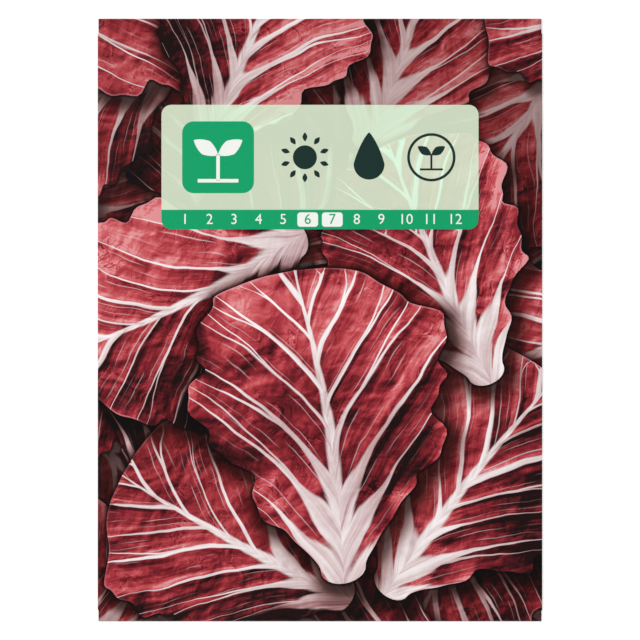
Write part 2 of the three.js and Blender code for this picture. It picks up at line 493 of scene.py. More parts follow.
@dataclass(frozen=True)
class MarkInk:
    """One flat, slightly mottled ink."""

    name: str
    colour: Colour
    shade: float = 0.88
    spots: float = 1100.0

    def material(self, paper: PaperFinish) -> Material:
        """Make the ink under the sheet's coat."""
        graph = Graph(self.name)
        return paper.coat(graph, graph.mottle(self.colour, darker(self.colour, self.shade), self.spots))


@dataclass(frozen=True)
class PlainInks:
    """The prints of the back and the flaps, with heights along the packet in metres."""

    white: Colour = (0.84, 0.83, 0.76)
    white_shade: Colour = (0.80, 0.79, 0.72)
    pale_green: Colour = (0.60, 0.72, 0.52)
    flap_shade: Colour = (0.57, 0.69, 0.49)
    flap_fold: Colour = (0.50, 0.64, 0.43)
    spots: float = 500.0
    rule_low: float = 0.0325
    rule_high: float = 0.034
    fold_starts: float = 0.06
    fold_ends: float = 0.079

    def back(self, paper: PaperFinish) -> Material:
        """Make the back's print: warm white with a pale green head and an emerald rule under it.

        Args:
            paper: The sheet's coat.

        Returns:
            The finished material.
        """
        graph = Graph("back_print")
        y = graph.place()[2]
        ground = graph.mottle(self.white, self.white_shade, self.spots)
        headed = graph.mix(y > self.rule_high, ground, self.pale_green)
        rule = (y > self.rule_low) * (y < self.rule_high)
        return paper.coat(graph, graph.mix(rule, headed, EMERALD))

    def flap(self, paper: PaperFinish) -> Material:
        """Make the flaps' print: pale green, a little deeper towards the fold.

        Args:
            paper: The sheet's coat.

        Returns:
            The finished material.
        """
        graph = Graph("flap_print")
        ground = graph.mottle(self.pale_green, self.flap_shade, self.spots)
        fold = graph.fade(abs(graph.place()[2]), self.fold_starts, self.fold_ends)
        return paper.coat(graph, graph.mix(fold, ground, self.flap_fold))


@dataclass(frozen=True)
class LeafInk:
    """How a leaf is pictured: a wine-red blade, and white veins that fan out from a white midrib."""

    rib_base: float = 0.031
    rib_tip: float = 0.003
    vein_step: float = 0.165
    vein_lean: float = 1.0
    vein_curve: float = 0.74
    vein_width: float = 0.0098
    fork_spread: float = 0.36
    fan_width: float = 0.050
    hairs: float = 4.0
    hair_strength: float = 0.45
    near: float = 0.07
    blade: Stops = (
        (0.0, (0.010, 0.002, 0.002)),
        (0.2, (0.065, 0.005, 0.008)),
        (0.42, (0.205, 0.013, 0.021)),
        (0.62, (0.395, 0.038, 0.050)),
        (0.8, (0.560, 0.092, 0.106)),
        (0.92, (0.640, 0.155, 0.168)),
        (1.0, (0.720, 0.275, 0.285)),
    )
    flesh: Stops = (
        (0.0, (0.110, 0.026, 0.028)),
        (0.25, (0.370, 0.180, 0.186)),
        (0.5, (0.620, 0.470, 0.473)),
        (0.75, (0.820, 0.735, 0.735)),
        (1.0, (0.960, 0.930, 0.930)),
    )
    shade: Stops = (
        (0.0, (1.0, 1.0, 1.0)),
        (0.4, (0.54, 0.42, 0.415)),
        (0.72, (0.17, 0.10, 0.094)),
        (0.93, (0.012, 0.006, 0.004)),
    )
    margin: Colour = (0.66, 0.26, 0.29)

    def front(self, paper: PaperFinish) -> Material:
        """Make the uncovered picture."""
        graph = Graph("leaf_print")
        return paper.coat(graph, LeafPicture(graph, self).colour())

    def veiled(self, paper: PaperFinish, tint: Colour, cover: Colour) -> Material:
        """Make the picture under the label's pale panel.

        Args:
            paper: The sheet's coat.
            tint: The panel's colour.
            cover: How much the panel lets through, for red, green and blue light.

        Returns:
            The finished material.
        """
        graph = Graph("label_panel")
        dimmed = graph.mix(1.0, LeafPicture(graph, self).colour(), cover, "MULTIPLY")
        return paper.coat(graph, graph.mix(1.0, dimmed, tint, "ADD"))


class LeafPicture:
    """The leaf as one material draws it, from the maps that the blank carries.

    It is worked out in leaf lengths: u runs across the midrib, v from the foot to the tip, and climb is
    the height at which the vein through a spot leaves the midrib.
    """

    def __init__(self, graph: Graph, ink: LeafInk) -> None:
        """Read the maps and lay out the rows of veins.

        Args:
            graph: The material's tree.
            ink: The picture's sizes and colours.
        """
        self.graph = graph
        self.ink = ink
        self.u, self.v = graph.map_pair("leaf")
        self.across, self.rim = graph.map_pair("blade")
        self.light, self.shadow = graph.map_pair("tone")
        self.lot, lamp = graph.map_pair("lot")
        self.lamp = (lamp.cos(), lamp.sin())
        self.away = abs(self.u).at_least(0.0005)
        self.right = self.u > 0.0
        self.spot = graph.vector(self.u, self.v, self.lot * 37.0)

        self.wobble = (graph.noise(self.spot, 2.8, 3.0, 0.4) - 0.5) * 0.15
        lean = self.away**ink.vein_curve * ink.vein_lean
        even = self.v - lean + self.wobble + self.right * (0.45 * ink.vein_step)
        own = self.right * 9.0 + self.lot * 53.0
        drift = graph.noise(graph.vector(even * 4.0, own), 1.0, 1.0) - 0.5
        self.climb = even + drift * 0.16
        self.cell = self.climb * (1.0 / ink.vein_step)
        self.step = self.cell.fract() - 0.5
        self.slope = self.away ** (ink.vein_curve - 1.0) * (ink.vein_curve * ink.vein_lean)
        self.steep = (self.slope * self.slope + 1.0).sqrt()
        self.streaks = self.along_veins(16.0, 3.5, 23.0, 5.0)

    def along_veins(self, across: float, along: float, lot: float, detail: float, up: float = 0.0) -> Field:
        """Read a noise that is drawn out along the veins, with so many cells across them and along them."""
        place = self.graph.vector((self.climb + up) * across, self.away * along, self.lot * lot)
        return self.graph.noise(place, 1.0, detail, 0.58)

    def lots(self) -> list[Field]:
        """Draw three numbers for each vein: its strength, its reach and its fork."""
        leaf = self.right * 40.0 + self.lot * 900.0
        return self.graph.draw((self.cell.floor() + leaf).floor())

    def veins(self) -> Field:
        """Draw the white veins, which widen into one white fan at the foot and fork towards the margin.

        Returns:
            How white each spot is.
        """
        graph, ink = self.graph, self.ink
        strength, reach, fork = self.lots()
        from_foot = self.v * 0.85 + self.away * 0.95 + self.lot * -0.16
        fan = graph.fade(from_foot, 0.5, -0.04) ** 2.3
        feather = self.streaks * 2.3 + -0.2
        end = reach * 0.6 + 0.7
        inner = graph.math("SUBTRACT", 1.0, self.across * 0.9, clamp=True)
        thin = inner * graph.fade(self.across, end, end + -0.4) * (self.streaks * 1.2 + 0.4)
        slim = thin * ink.vein_width * (strength * 1.15 + 0.2)
        main = self.stroke(self.step, fan * feather * ink.fan_width + slim + 0.0006)

        side = (fork > 0.7) * 2.0 + -1.0
        spread = graph.fade(self.across, 0.2, 1.0) * side * ink.fork_spread
        forked = (fork > 0.4) * graph.fade(self.across, 0.2, 0.32)
        branch = self.stroke(self.step - spread, slim * 0.8)
        return main.at_least(branch * forked)

    def stroke(self, step: Field, width: Field) -> Field:
        """Draw one white line in each row, where a step across the row is 0."""
        off = abs(step) * self.ink.vein_step / self.steep
        return self.graph.fade(off, width * 1.08 + 0.0014, width * 0.7)

    def midrib(self) -> Field:
        """Draw the midrib, which tapers from the foot to the tip.

        Returns:
            How white each spot is.
        """
        upward = self.graph.math("SUBTRACT", 1.0, self.v, clamp=True)
        width = upward**1.2 * self.ink.rib_base + self.ink.rib_tip
        place = abs(self.u + self.wobble * 0.15)
        return self.graph.fade(place, width * (self.streaks + 0.7), width * 0.6)

    def hairs(self) -> Field:
        """Draw faint hair veins between the white ones, some of them only part of the way.

        Returns:
            How white each spot is.
        """
        graph, ink = self.graph, self.ink
        drift = self.along_veins(4.0, 6.0, 71.0, 2.0)
        cell = (self.climb + drift * 0.05) * (ink.hairs / ink.vein_step)
        off = abs(cell.fract() - 0.5)
        reach = graph.vector(cell.floor() * 3.7, self.away * 7.0, self.lot)
        shown = graph.fade(graph.noise(reach, 1.0, 1.0), 0.5, 0.64)
        inner = graph.fade(self.across, 1.0, 0.6)
        return graph.fade(off, 0.085, 0.02) * shown * inner * ink.hair_strength

    def bumps(self, scale: float, detail: float) -> Field:
        """Shade soft bumps: the difference of a noise between a spot and one a little nearer the lamp.

        Args:
            scale: How many bumps there are to a leaf length.
            detail: How many finer octaves they have.

        Returns:
            The change of tone, either way from 0.
        """
        graph = self.graph
        step = graph.vector(*(part * (-self.ink.near / scale) for part in self.lamp))
        moved = graph.make("ShaderNodeVectorMath", {0: self.spot, 1: step}, operation="ADD")
        here, there = (graph.noise(spot, scale, detail, 0.5, 0.5) for spot in (self.spot, moved))
        return here - there

    def folds(self, across: float, along: float) -> Field:
        """Shade folds that run with the veins, by the same difference across them."""
        here = self.along_veins(across, along, 23.0, 3.0)
        return here - self.along_veins(across, along, 23.0, 3.0, self.ink.near / across)

    def creases(self) -> Field:
        """Draw fine creases in patches, each a dark line with a bright one beside it.

        Returns:
            The change of tone, either way from 0.
        """
        graph = self.graph
        level = graph.noise(self.spot, 9.0, 3.0, 0.5, 1.2) - 0.5
        dark = graph.fade(abs(level), 0.016, 0.0)
        bright = graph.fade(abs(level + 0.028), 0.022, 0.0)
        patch = graph.fade(graph.noise(self.spot, 5.0, 1.0), 0.46, 0.6)
        return (bright * 0.15 + dark * -0.28) * patch

    def tone(self, white: Field) -> Field:
        """Shade the picture by the leaf's form and all its folds, which lie flatter under the white.

        Args:
            white: How white the spot is drawn.

        Returns:
            The tone, from 0, dark, to 1, bright.
        """
        side = self.right * -2.0 + 1.0
        face = (self.slope * side * self.lamp[0] + self.lamp[1]) / self.steep
        fold = self.folds(9.0, 2.0) * face * 2.3
        wrinkle = self.folds(30.0, 6.0) * face * 1.4
        beside = self.graph.fade(abs(self.step), 0.36, 0.0)
        swell = self.step * beside * face * 3.0
        crumpled = self.bumps(4.2, 3.0) * 3.6 + self.bumps(16.0, 3.5) * 2.0 + swell + self.creases()
        return self.light + crumpled * (1.0 - white * 0.7) + fold + wrinkle

    def colour(self) -> Field:
        """Draw the blade, the white parts over it, the margin, and the shade of the leaves above.

        Returns:
            The picture's colour.
        """
        graph, ink = self.graph, self.ink
        white = self.midrib().at_least(self.veins()).at_least(self.hairs())
        tone = self.tone(white)
        blade = graph.ramp(tone + (self.lot - 0.5) * 0.12, ink.blade)
        ridges = self.along_veins(24.0, 2.0, 57.0, 3.0) - 0.5
        blush = ridges * 0.95 + (self.streaks - 0.5) * 0.4
        flesh = graph.ramp(tone * 0.62 + 0.36 + blush, ink.flesh)
        worn = graph.fade(graph.noise(self.spot, 6.0, 2.0), 0.4, 0.6)
        rim = graph.fade(self.rim, 0.4, 0.1) * graph.fade(self.light, 0.3, 0.8) * worn * 0.8
        colour = graph.mix(rim, graph.mix(white, blade, flesh), ink.margin)
        return graph.mix(1.0, colour, graph.ramp(self.shadow, ink.shade), "MULTIPLY")


@dataclass(frozen=True)
class Leaf:
    """One pictured leaf: its place in millimetres, its turn in radians, its shape in leaf lengths."""

    at: Pair
    turn: float
    length: float
    breadth: float
    bend: float
    cup: float
    lot: float

    steps: ClassVar[int] = 84
    foot: ClassVar[float] = 0.075
    foot_round: ClassVar[float] = 0.05
    base_power: ClassVar[float] = 0.86
    tip_power: ClassVar[float] = 0.44
    bend_v: ClassVar[float] = 0.4
    lamp: ClassVar[float] = math.radians(128.0)

    @property
    def axes(self) -> Array:
        """The directions on the sheet across the leaf and along it."""
        cos, sin = math.cos(self.turn), math.sin(self.turn)
        return np.array([(cos, sin), (-sin, cos)])

    def half_breadth(self, v: Array) -> Array:
        """Give the smooth half width of the blade at a share of its length.

        Args:
            v: The shares, from the foot on.

        Returns:
            The half widths in leaf lengths.
        """
        held = np.clip(v, 0.0, 1.0)
        peak_v = self.base_power / (self.base_power + self.tip_power)
        peak = peak_v**self.base_power * (1.0 - peak_v) ** self.tip_power
        blade = held**self.base_power * (1.0 - held) ** self.tip_power / peak
        return np.sqrt((0.5 * self.breadth * blade) ** 2 + (self.foot * (1.0 - held)) ** 2)

    def outline(self) -> Array:
        """Trace the ruffled margin once round, from the foot up the right side and down the left.

        Returns:
            The margin's points on the sheet.
        """
        even = np.linspace(0.0, 1.0, self.steps)
        share = 0.45 * even + 0.55 * (1.0 - np.cos(math.pi * even)) / 2.0
        sides = []
        for side in (1.0, -1.0):
            phase = 40.0 * self.lot + 1.7 * side
            ruffle = 0.026 * np.sin(15.0 * share + phase) + 0.018 * np.sin(33.0 * share + 2.3 * phase)
            notch = 0.010 * np.sin(67.0 * share + 3.1 * phase)
            frilled = smooth(share / 0.3) * smooth((1.0 - share) / 0.06)
            wide = self.half_breadth(share) + (ruffle + notch) * frilled
            swayed = smooth(share / 0.2) * smooth((1.0 - share) / 0.1)
            up = share + 0.012 * np.sin(23.0 * share + phase) * swayed
            sides.append(np.stack([side * wide, up], axis=1))
        turns = np.radians(np.arange(195.0, 350.0, 15.0))
        cut = np.stack([self.foot * np.cos(turns), self.foot_round * np.sin(turns)], axis=1)
        return self.to_sheet(np.concatenate([sides[0], sides[1][::-1], cut]))

    def to_sheet(self, shape: Array) -> Array:
        """Place points given in leaf lengths on the sheet.

        Args:
            shape: The points, one to a row.

        Returns:
            The same points in millimetres.
        """
        u, v = shape.T
        bent = np.stack([u + self.bend * (v - self.bend_v) ** 2, v - 0.5], axis=1)
        return self.at + self.length * (bent @ self.axes)

    def to_leaf(self, points: Array) -> Array:
        """Give points of the sheet in leaf lengths, with the midrib straightened.

        Args:
            points: The points in millimetres, one to a row.

        Returns:
            Their u and v.
        """
        across, along = ((points - self.at) / self.length @ self.axes.T).T
        v = along + 0.5
        return np.stack([across - self.bend * (v - self.bend_v) ** 2, v], axis=1)

    def light(self, u: Array, v: Array, across: Array, rim: Array) -> Array:
        """Shade the pictured leaf by its cupped and ruffled form, from 0, dark, to 1, bright.

        Args:
            u: Places across the midrib.
            v: Places along it.
            across: Shares of the way from the midrib to the margin.
            rim: Distances from the margin, where 1 is well inside.

        Returns:
            The tones.
        """
        phase = 40.0 * self.lot
        sweep = np.arctan2(u, v - 0.35)
        curl = self.cup * np.sin(across * 1.4 * np.sign(u))
        ruffle = (1.0 - rim) ** 2 * (0.5 + 0.8 * np.sin(9.0 * sweep + phase))
        arch = 0.55 * (v - 0.45) + 0.28 * np.sin(7.0 * v + 3.0 * u + phase)
        lean_u = curl + ruffle * np.cos(sweep) + 0.3 * np.sin(5.0 * u + 4.0 * v + 1.7 * phase)
        lean_v = arch + ruffle * np.sin(sweep)
        angle = self.lamp - self.turn
        lit = lean_u * math.cos(angle) + lean_v * math.sin(angle)
        return 0.45 + 0.5 * lit


def inside(points: Array, outline: Array) -> Array:
    """Tell which points lie inside a closed outline.

    Args:
        points: The points, one to a row.
        outline: The outline's corners, one to a row.

    Returns:
        One truth value for each point.
    """
    found = np.zeros(len(points), bool)
    low, high = outline.min(0), outline.max(0)
    near = np.flatnonzero(((points >= low) & (points <= high)).all(1))
    x, y = points[near, 0][:, None], points[near, 1][:, None]
    x0, y0 = outline[:, 0], outline[:, 1]
    x1, y1 = np.roll(x0, -1), np.roll(y0, -1)
    spans = (y0 > y) != (y1 > y)
    rise = np.where(y1 == y0, 1.0, y1 - y0)
    hits = spans & (x < x0 + (y - y0) * (x1 - x0) / rise)
    found[near] = hits.sum(1) % 2 == 1
    return found


def distance(points: Array, outline: Array, reach: float) -> Array:
    """Measure how far points lie from a closed outline.

    Args:
        points: The points, one to a row.
        outline: The outline's corners, one to a row.
        reach: The distance past which the answer is only this.

    Returns:
        The distances, in the points' own unit.
    """
    found = np.full(len(points), reach)
    low, high = outline.min(0) - reach, outline.max(0) + reach
    near = np.flatnonzero(((points >= low) & (points <= high)).all(1))
    start = outline[None]
    run = np.roll(outline, -1, axis=0)[None] - start
    gap = points[near][:, None] - start
    share = np.clip((gap * run).sum(2) / np.maximum((run * run).sum(2), 1e-12), 0.0, 1.0)
    off = gap - run * share[..., None]
    found[near] = np.minimum(np.sqrt((off * off).sum(2)).min(1), reach)
    return found


@dataclass
class LeafPrint:
    """A loose pile of single picked leaves, pictured from above, each partly over the ones before it."""

    form: PacketForm
    columns: int = 4
    rows: int = 6
    seed: int = 7
    stagger: float = 0.25
    jitter: Pair = (0.2, 0.25)
    lengths: Pair = (56.0, 70.0)
    breadths: Pair = (0.78, 0.92)
    bend: float = 0.22
    cups: Pair = (0.35, 0.75)
    rim_reach: float = 1.3
    rings_outside: tuple[float, ...] = (0.9, 2.2, 4.5)
    curl_reach: float = 7.0
    shadow_reach: float = 7.0
    shadow_shift: Pair = (1.3, -1.7)
    shadow_depth: float = 0.86
    contact_reach: float = 2.2
    contact_depth: float = 0.97
    sunken: float = 0.85
    on_top: tuple[tuple[float, float, float, float], ...] = (
        (-24.0, -58.0, 62.0, 66.0),
        (40.0, -42.0, -38.0, 70.0),
        (-36.0, 4.0, 118.0, 68.0),
        (30.0, 16.0, 24.0, 66.0),
        (2.0, -26.0, 8.0, 80.0),
    )
    leaves: list[Leaf] = field(default_factory=list)
    outlines: list[Array] = field(default_factory=list)

    def scatter(self) -> None:
        """Lay out the pile: a jittered field of leaves, and a few large ones on top."""
        draw = np.random.default_rng(self.seed)
        pitch_x = 2.0 * self.form.half_width / (self.columns - 1)
        pitch_y = 2.0 * self.form.half_length / (self.rows - 1)
        spots = [(c, r) for r in range(self.rows) for c in range(self.columns)]
        draw.shuffle(spots)
        for column, row in spots:
            stagger = self.stagger if row % 2 else -self.stagger
            across, along = (draw.uniform(-reach, reach) for reach in self.jitter)
            x = (column + stagger + across) * pitch_x - self.form.half_width
            y = (row + along) * pitch_y - self.form.half_length
            self.lay(draw, (x, y), draw.uniform(0.0, 2.0 * math.pi), draw.uniform(*self.lengths))
        for x, y, turn, length in self.on_top:
            self.lay(draw, (x, y), math.radians(turn), length)
        self.outlines = [leaf.outline() for leaf in self.leaves]

    def lay(self, draw: np.random.Generator, at: Pair, turn: float, length: float) -> None:
        """Add one leaf to the pile, with its own breadth, bend and cupping.

        Args:
            draw: The generator of its numbers.
            at: Its place on the sheet.
            turn: Its turn in radians.
            length: Its length.
        """
        breadth = draw.uniform(*self.breadths)
        bend = draw.uniform(-self.bend, self.bend)
        cup = draw.uniform(*self.cups) * draw.choice((-1.0, 1.0))
        self.leaves.append(Leaf(at, turn, length, breadth, bend, cup, draw.uniform()))

    def topmost(self, points: Array) -> Array:
        """Find the uppermost leaf at each point, or -1 where there is none.

        Args:
            points: The points, one to a row.

        Returns:
            The leaves' numbers.
        """
        found = np.full(len(points), -1)
        for level in range(len(self.leaves) - 1, -1, -1):
            open_points = np.flatnonzero(found < 0)
            found[open_points[inside(points[open_points], self.outlines[level])]] = level
        return found

    def visible_runs(self) -> tuple[list[Array], list[Array]]:
        """Collect the parts of the margins that no other leaf hides.

        Returns:
            The runs of margin points, and loose points on both sides of them that carry the shading.
        """
        runs, loose = [], []
        for level, outline in enumerate(self.outlines):
            covered = np.zeros(len(outline), bool)
            for upper in self.outlines[level + 1 :]:
                covered |= inside(outline, upper)
            shown = ~covered | ~np.roll(covered, 1) | ~np.roll(covered, -1)
            ahead = np.roll(outline, -1, axis=0) - np.roll(outline, 1, axis=0)
            out = np.stack([ahead[:, 1], -ahead[:, 0]], axis=1)
            out /= np.maximum(np.linalg.norm(out, axis=1), 1e-9)[:, None]
            for offset in (-self.rim_reach, *self.rings_outside):
                ring = outline + offset * out
                tops = self.topmost(ring)
                wanted = tops == level if offset < 0 else tops < level
                loose.append(ring[wanted & shown])
            stretches = np.stack([outline, np.roll(outline, -1, axis=0)], axis=1)
            runs.extend(stretches[shown & np.roll(shown, -1)])
        return runs, loose

    def describe(self, levels: Array, points: Array) -> dict[str, Array]:
        """Work out every map of the print at points of the sheet, each read as part of a given leaf.

        Args:
            levels: The leaf of each point, or -1 for none.
            points: The points, in millimetres.

        Returns:
            Each map's pairs of numbers, by the map's name.
        """
        maps = {name: np.zeros((len(points), 2), np.float32) for name in ("leaf", "blade", "tone", "lot")}
        maps["tone"][:, 1] = 1.0
        for level, leaf in enumerate(self.leaves):
            chosen = np.flatnonzero(levels == level)
            if not len(chosen):
                continue
            spots = points[chosen]
            local = leaf.to_leaf(spots)
            u, v = local[:, 0], local[:, 1]
            across = np.clip(np.abs(u) / np.maximum(leaf.half_breadth(v), 0.02), 0.0, 1.15)
            rim = distance(spots, self.outlines[level], self.rim_reach) / self.rim_reach
            deep = distance(spots, self.outlines[level], self.curl_reach) / self.curl_reach
            maps["leaf"][chosen] = local
            maps["blade"][chosen] = np.stack([across, rim], axis=1)
            light = leaf.light(u, v, across, deep)
            maps["tone"][chosen] = np.stack([light, self.shadow(level, spots)], axis=1)
            maps["lot"][chosen] = (leaf.lot, leaf.lamp - leaf.turn)
        return maps

    def shadow(self, level: int, spots: Array) -> Array:
        """Darken points of a leaf that lie in the lee of the leaves above it.

        Args:
            level: The leaf's number.
            spots: The points, one to a row.

        Returns:
            How dark each point is, from 0 to 1.
        """
        dark = np.full(len(spots), self.sunken * (1.0 - level / len(self.leaves)) ** 1.4)
        cast = (spots - np.array(self.shadow_shift), self.shadow_reach, self.shadow_depth)
        contact = (spots, self.contact_reach, self.contact_depth)
        for upper in self.outlines[level + 1 :]:
            for where, reach, depth in (cast, contact):
                gap = distance(where, upper, reach)
                gap[inside(where, upper)] = 0.0
                dark = np.maximum(dark, depth * (1.0 - smooth(gap / reach)))
        return dark


@dataclass(frozen=True)
class LabelPanel:
    """The level pale panel over the print, with an emerald stripe along its foot, in millimetres."""

    left: float = -42.0
    right: float = 42.0
    bottom: float = 24.0
    top: float = 57.0
    corner: float = 2.6
    corner_steps: int = 7
    stripe: float = 5.2
    panel_tint: Colour = (0.545, 0.625, 0.475)
    panel_cover: Colour = (0.14, 0.32, 0.27)

    def outline(self) -> Array:
        """Trace the panel's rounded border, quarter turn by quarter turn.

        Returns:
            The border's points.
        """
        left, right = self.left + self.corner, self.right - self.corner
        bottom, top = self.bottom + self.corner, self.top - self.corner
        centres = ((right, bottom), (right, top), (left, top), (left, bottom))
        arcs = []
        for quarter, centre in enumerate(centres):
            turns = np.radians(np.linspace(0.0, 90.0, self.corner_steps) + 90.0 * (quarter - 1))
            arc = np.stack([np.cos(turns), np.sin(turns)], axis=1)
            arcs.append(np.array(centre) + self.corner * arc)
        return np.concatenate(arcs)

    def stripe_line(self) -> Array:
        """The line that parts the stripe from the panel, running a little past both sides."""
        y = self.bottom + self.stripe
        return np.array([(self.left, y), (self.right, y)])

    def inks(self, middles: Array) -> tuple[Array, Array]:
        """Tell which points lie on the panel, and which of them on its stripe.

        Args:
            middles: The points, one to a row.

        Returns:
            Both truth values for each point.
        """
        on_panel = inside(middles, self.outline())
        on_stripe = on_panel & (middles[:, 1] < self.bottom + self.stripe)
        return on_panel, on_stripe


@dataclass(frozen=True)
class Row:
    """One new row of points that carries a border of the sheet on."""

    places: Array
    flat: Array
    ink: Ink


@dataclass
class Blank:
    """The points and faces of the folded blank's outer skin, gathered panel by panel.

    A point has its place and its place on the unfolded sheet, and a face its corners, its leaf, or -1 for
    none, and its ink.
    """

    points: list[tuple[Sequence[float], Sequence[float]]] = field(default_factory=list)
    faces: list[tuple[tuple[int, ...], int, Ink]] = field(default_factory=list)

    def point(self, place: Sequence[float], flat: Sequence[float]) -> int:
        """Add a point and give its number."""
        self.points.append((place, flat))
        return len(self.points) - 1

    def face(self, corners: Sequence[int], level: int, ink: Ink) -> None:
        """Add a face."""
        self.faces.append((tuple(int(corner) for corner in corners), int(level), ink))

    def run_on(self, edge: Sequence[int], levels: Sequence[int], rows: Sequence[Row], flip: bool) -> None:
        """Carry a border on by rows of new points.

        Args:
            edge: The border's point numbers in order.
            levels: The leaf of each stretch between two of them.
            rows: The new rows in order.
            flip: Whether the faces run the other way round.
        """
        last = list(edge)
        for row in rows:
            fresh = [self.point(p, f) for p, f in zip(row.places, row.flat)]
            for i in range(len(last) - 1):
                corners = (last[i], fresh[i], fresh[i + 1], last[i + 1])
                level = levels[i] if row.ink is Ink.LEAVES else -1
                self.face(corners[::-1] if flip else corners, level, row.ink)
            last = fresh


@dataclass
class PaperPacket:
    """The whole envelope: one printed blank, folded and glued."""

    form: PacketForm
    pile: LeafPrint
    label: LabelPanel
    paper: PaperFinish
    ink: LeafInk
    plain: PlainInks
    stripe: MarkInk = MarkInk("stripe_ink", EMERALD, 0.86, 900.0)
    border_step: float = 2.0
    grid_step: float = 2.6
    fine_step: float = 1.1
    spacing: float = 0.62
    roll_steps: int = 8
    thickness: float = 0.19
    flap_corner: float = 3.0
    top_taper: float = 6.0
    bottom_taper: float = 5.0
    knobs_half_length: float = 21.0
    knobs_half_width: float = 15.0
    score_start: float = 0.5
    score_room: float = 0.6
    end_room: float = 0.8
    merge: float = 0.0001
    tolerance: float = 0.001
    inward: float = 0.01
    near_columns: int = 6
    far_columns: int = 9
    lifted_columns: int = 7
    seam_columns: int = 4
    flap_rows: int = 4
    score_columns: tuple[float, ...] = (-2.0, -0.9, 0.0, 0.9, 2.0)
    side_columns: tuple[float, ...] = (0.8, 2.0, 4.0, 6.0, 8.0, 10.0)
    corner_angles: tuple[float, ...] = (22.5, 45.0, 67.5, 80.0, 90.0)

    def build(self) -> Object:
        """Make the packet's mesh, maps and materials.

        Returns:
            The finished piece.
        """
        self.pile.scatter()
        blank = Blank()
        self.front_ply(blank)
        for side in (1.0, -1.0):
            self.side_panel(blank, side)
        self.end_flap(blank, 1.0, self.form.top_flap, self.top_taper)
        self.end_flap(blank, -1.0, self.form.bottom_flap, self.bottom_taper)
        piece = self.mesh_of(blank)
        thicken(piece, self.thickness, len(Ink))
        return piece

    def grid(self, half_x: float, half_y: float, step: float) -> Array:
        """Spread points evenly over a rectangle about the origin."""
        across, along = np.arange(-half_x, half_x, step), np.arange(-half_y, half_y, step)
        return np.array([(x, y) for x in across for y in along])

    def loose_points(self, loose: list[Array]) -> Array:
        """Gather the points that carry shading and height, thinned so that none crowd each other.

        Args:
            loose: The points beside the leaves' margins.

        Returns:
            Those points, closer ones over the seeds and an even grid everywhere else.
        """
        form = self.form
        x, y = form.score_x - self.score_room, form.panel_y - self.end_room
        over_seeds = self.grid(self.knobs_half_length, self.knobs_half_width, self.fine_step)
        share = over_seeds / (self.knobs_half_length, self.knobs_half_width)
        over_seeds = over_seeds[(share**2).sum(1) < 1.0] + (form.heap_x, form.heap_y)
        every = np.concatenate([*loose, over_seeds, self.grid(x, y, self.grid_step)])
        every = every[(np.abs(every) < (x, y)).all(1)]
        taken: set[tuple[int, int]] = set()
        kept = []
        for point in every:
            cell = (round(point[0] / self.spacing), round(point[1] / self.spacing))
            if any((cell[0] + a, cell[1] + b) in taken for a in (-1, 0, 1) for b in (-1, 0, 1)):
                continue
            taken.add(cell)
            kept.append(point)
        return np.array(kept)

    def border(self) -> Array:
        """Trace the front ply's border, with a point at each end of the paper tube.

        Returns:
            The border's points, once round.
        """
        form = self.form
        x, y = form.panel_x, form.panel_y
        mouths = [form.bottom_mouth - form.half_length, form.half_length - form.top_mouth]
        across = np.linspace(-x, x, round(2.0 * x / self.border_step) + 1)
        even = np.linspace(-y, y, round(2.0 * y / self.border_step) + 1)
        along = np.sort(np.concatenate([even, mouths]))
        bottom = [(a, -y) for a in across[:-1]]
        right = [(x, b) for b in along[:-1]]
        top = [(a, y) for a in across[:0:-1]]
        left = [(-x, b) for b in along[:0:-1]]
        return np.array(bottom + right + top + left)

    def front_ply(self, blank: Blank) -> None:
        """Cut the front ply along every margin of its print and raise it to its height.

        Args:
            blank: The blank, still empty.
        """
        border, panel = self.border(), self.label.outline()
        runs, loose = self.pile.visible_runs()
        points: list[Array] = []
        edges: list[tuple[int, int]] = []
        for chain in (border, border[[-1, 0]], panel, panel[[-1, 0]], self.label.stripe_line(), *runs):
            edges.extend((i, i + 1) for i in range(len(points), len(points) + len(chain) - 1))
            points.extend(chain)
        form = self.form
        along = np.arange(self.score_start - form.panel_y, form.panel_y, self.border_step)
        for side in (-1.0, 1.0):
            for off in self.score_columns:
                x = side * (form.score_x + off * form.score_width)
                points.extend(np.stack([np.full(len(along), x), along], axis=1))
        points.extend(self.loose_points(loose))
        made = delaunay_2d_cdt([Vector(p) for p in points], edges, [], 0, self.merge, False)
        sheet, corners = np.array([tuple(v) for v in made[0]]), np.array(made[2])
        middles = sheet[corners].mean(1)
        kept = (np.abs(middles) < (form.panel_x, form.panel_y)).all(1)
        corners, middles = corners[kept], middles[kept]
        levels = self.pile.topmost(middles)
        on_panel, on_stripe = self.label.inks(middles)
        used, fresh = np.unique(corners, return_inverse=True)
        sheet = sheet[used]
        for (x, y), z in zip(sheet, form.front_top(*sheet.T)):
            blank.point((x, y, z), (x, y))
        for three, level, panel, stripe in zip(fresh.reshape(-1, 3), levels, on_panel, on_stripe):
            ink = Ink.STRIPE if stripe else Ink.LABEL if panel else Ink.LEAVES
            blank.face(three, level, ink)

    def border_run(self, blank: Blank, axis: int, side: float, span: Pair) -> tuple[list[int], list[int]]:
        """Find the front ply's points along one side of its border.

        Args:
            blank: The blank so far.
            axis: 0 for a side at fixed x, 1 for an end at fixed y.
            side: 1 for the right or the top, -1 for the left or the bottom.
            span: Where the run starts and ends.

        Returns:
            The points' numbers in order, and the leaf of each stretch between them.
        """
        line = side * (self.form.panel_x if axis == 0 else self.form.panel_y)
        flat = np.array([flat for _, flat in blank.points])
        on_line = np.abs(flat[:, axis] - line) < self.tolerance
        other = flat[:, 1 - axis]
        within = (other > span[0] - self.tolerance) & (other < span[1] + self.tolerance)
        found = np.flatnonzero(on_line & within)
        run = found[np.argsort(other[found])]
        middles = (flat[run[1:]] + flat[run[:-1]]) / 2.0
        middles[:, axis] -= side * self.inward
        return list(run), list(self.pile.topmost(middles))

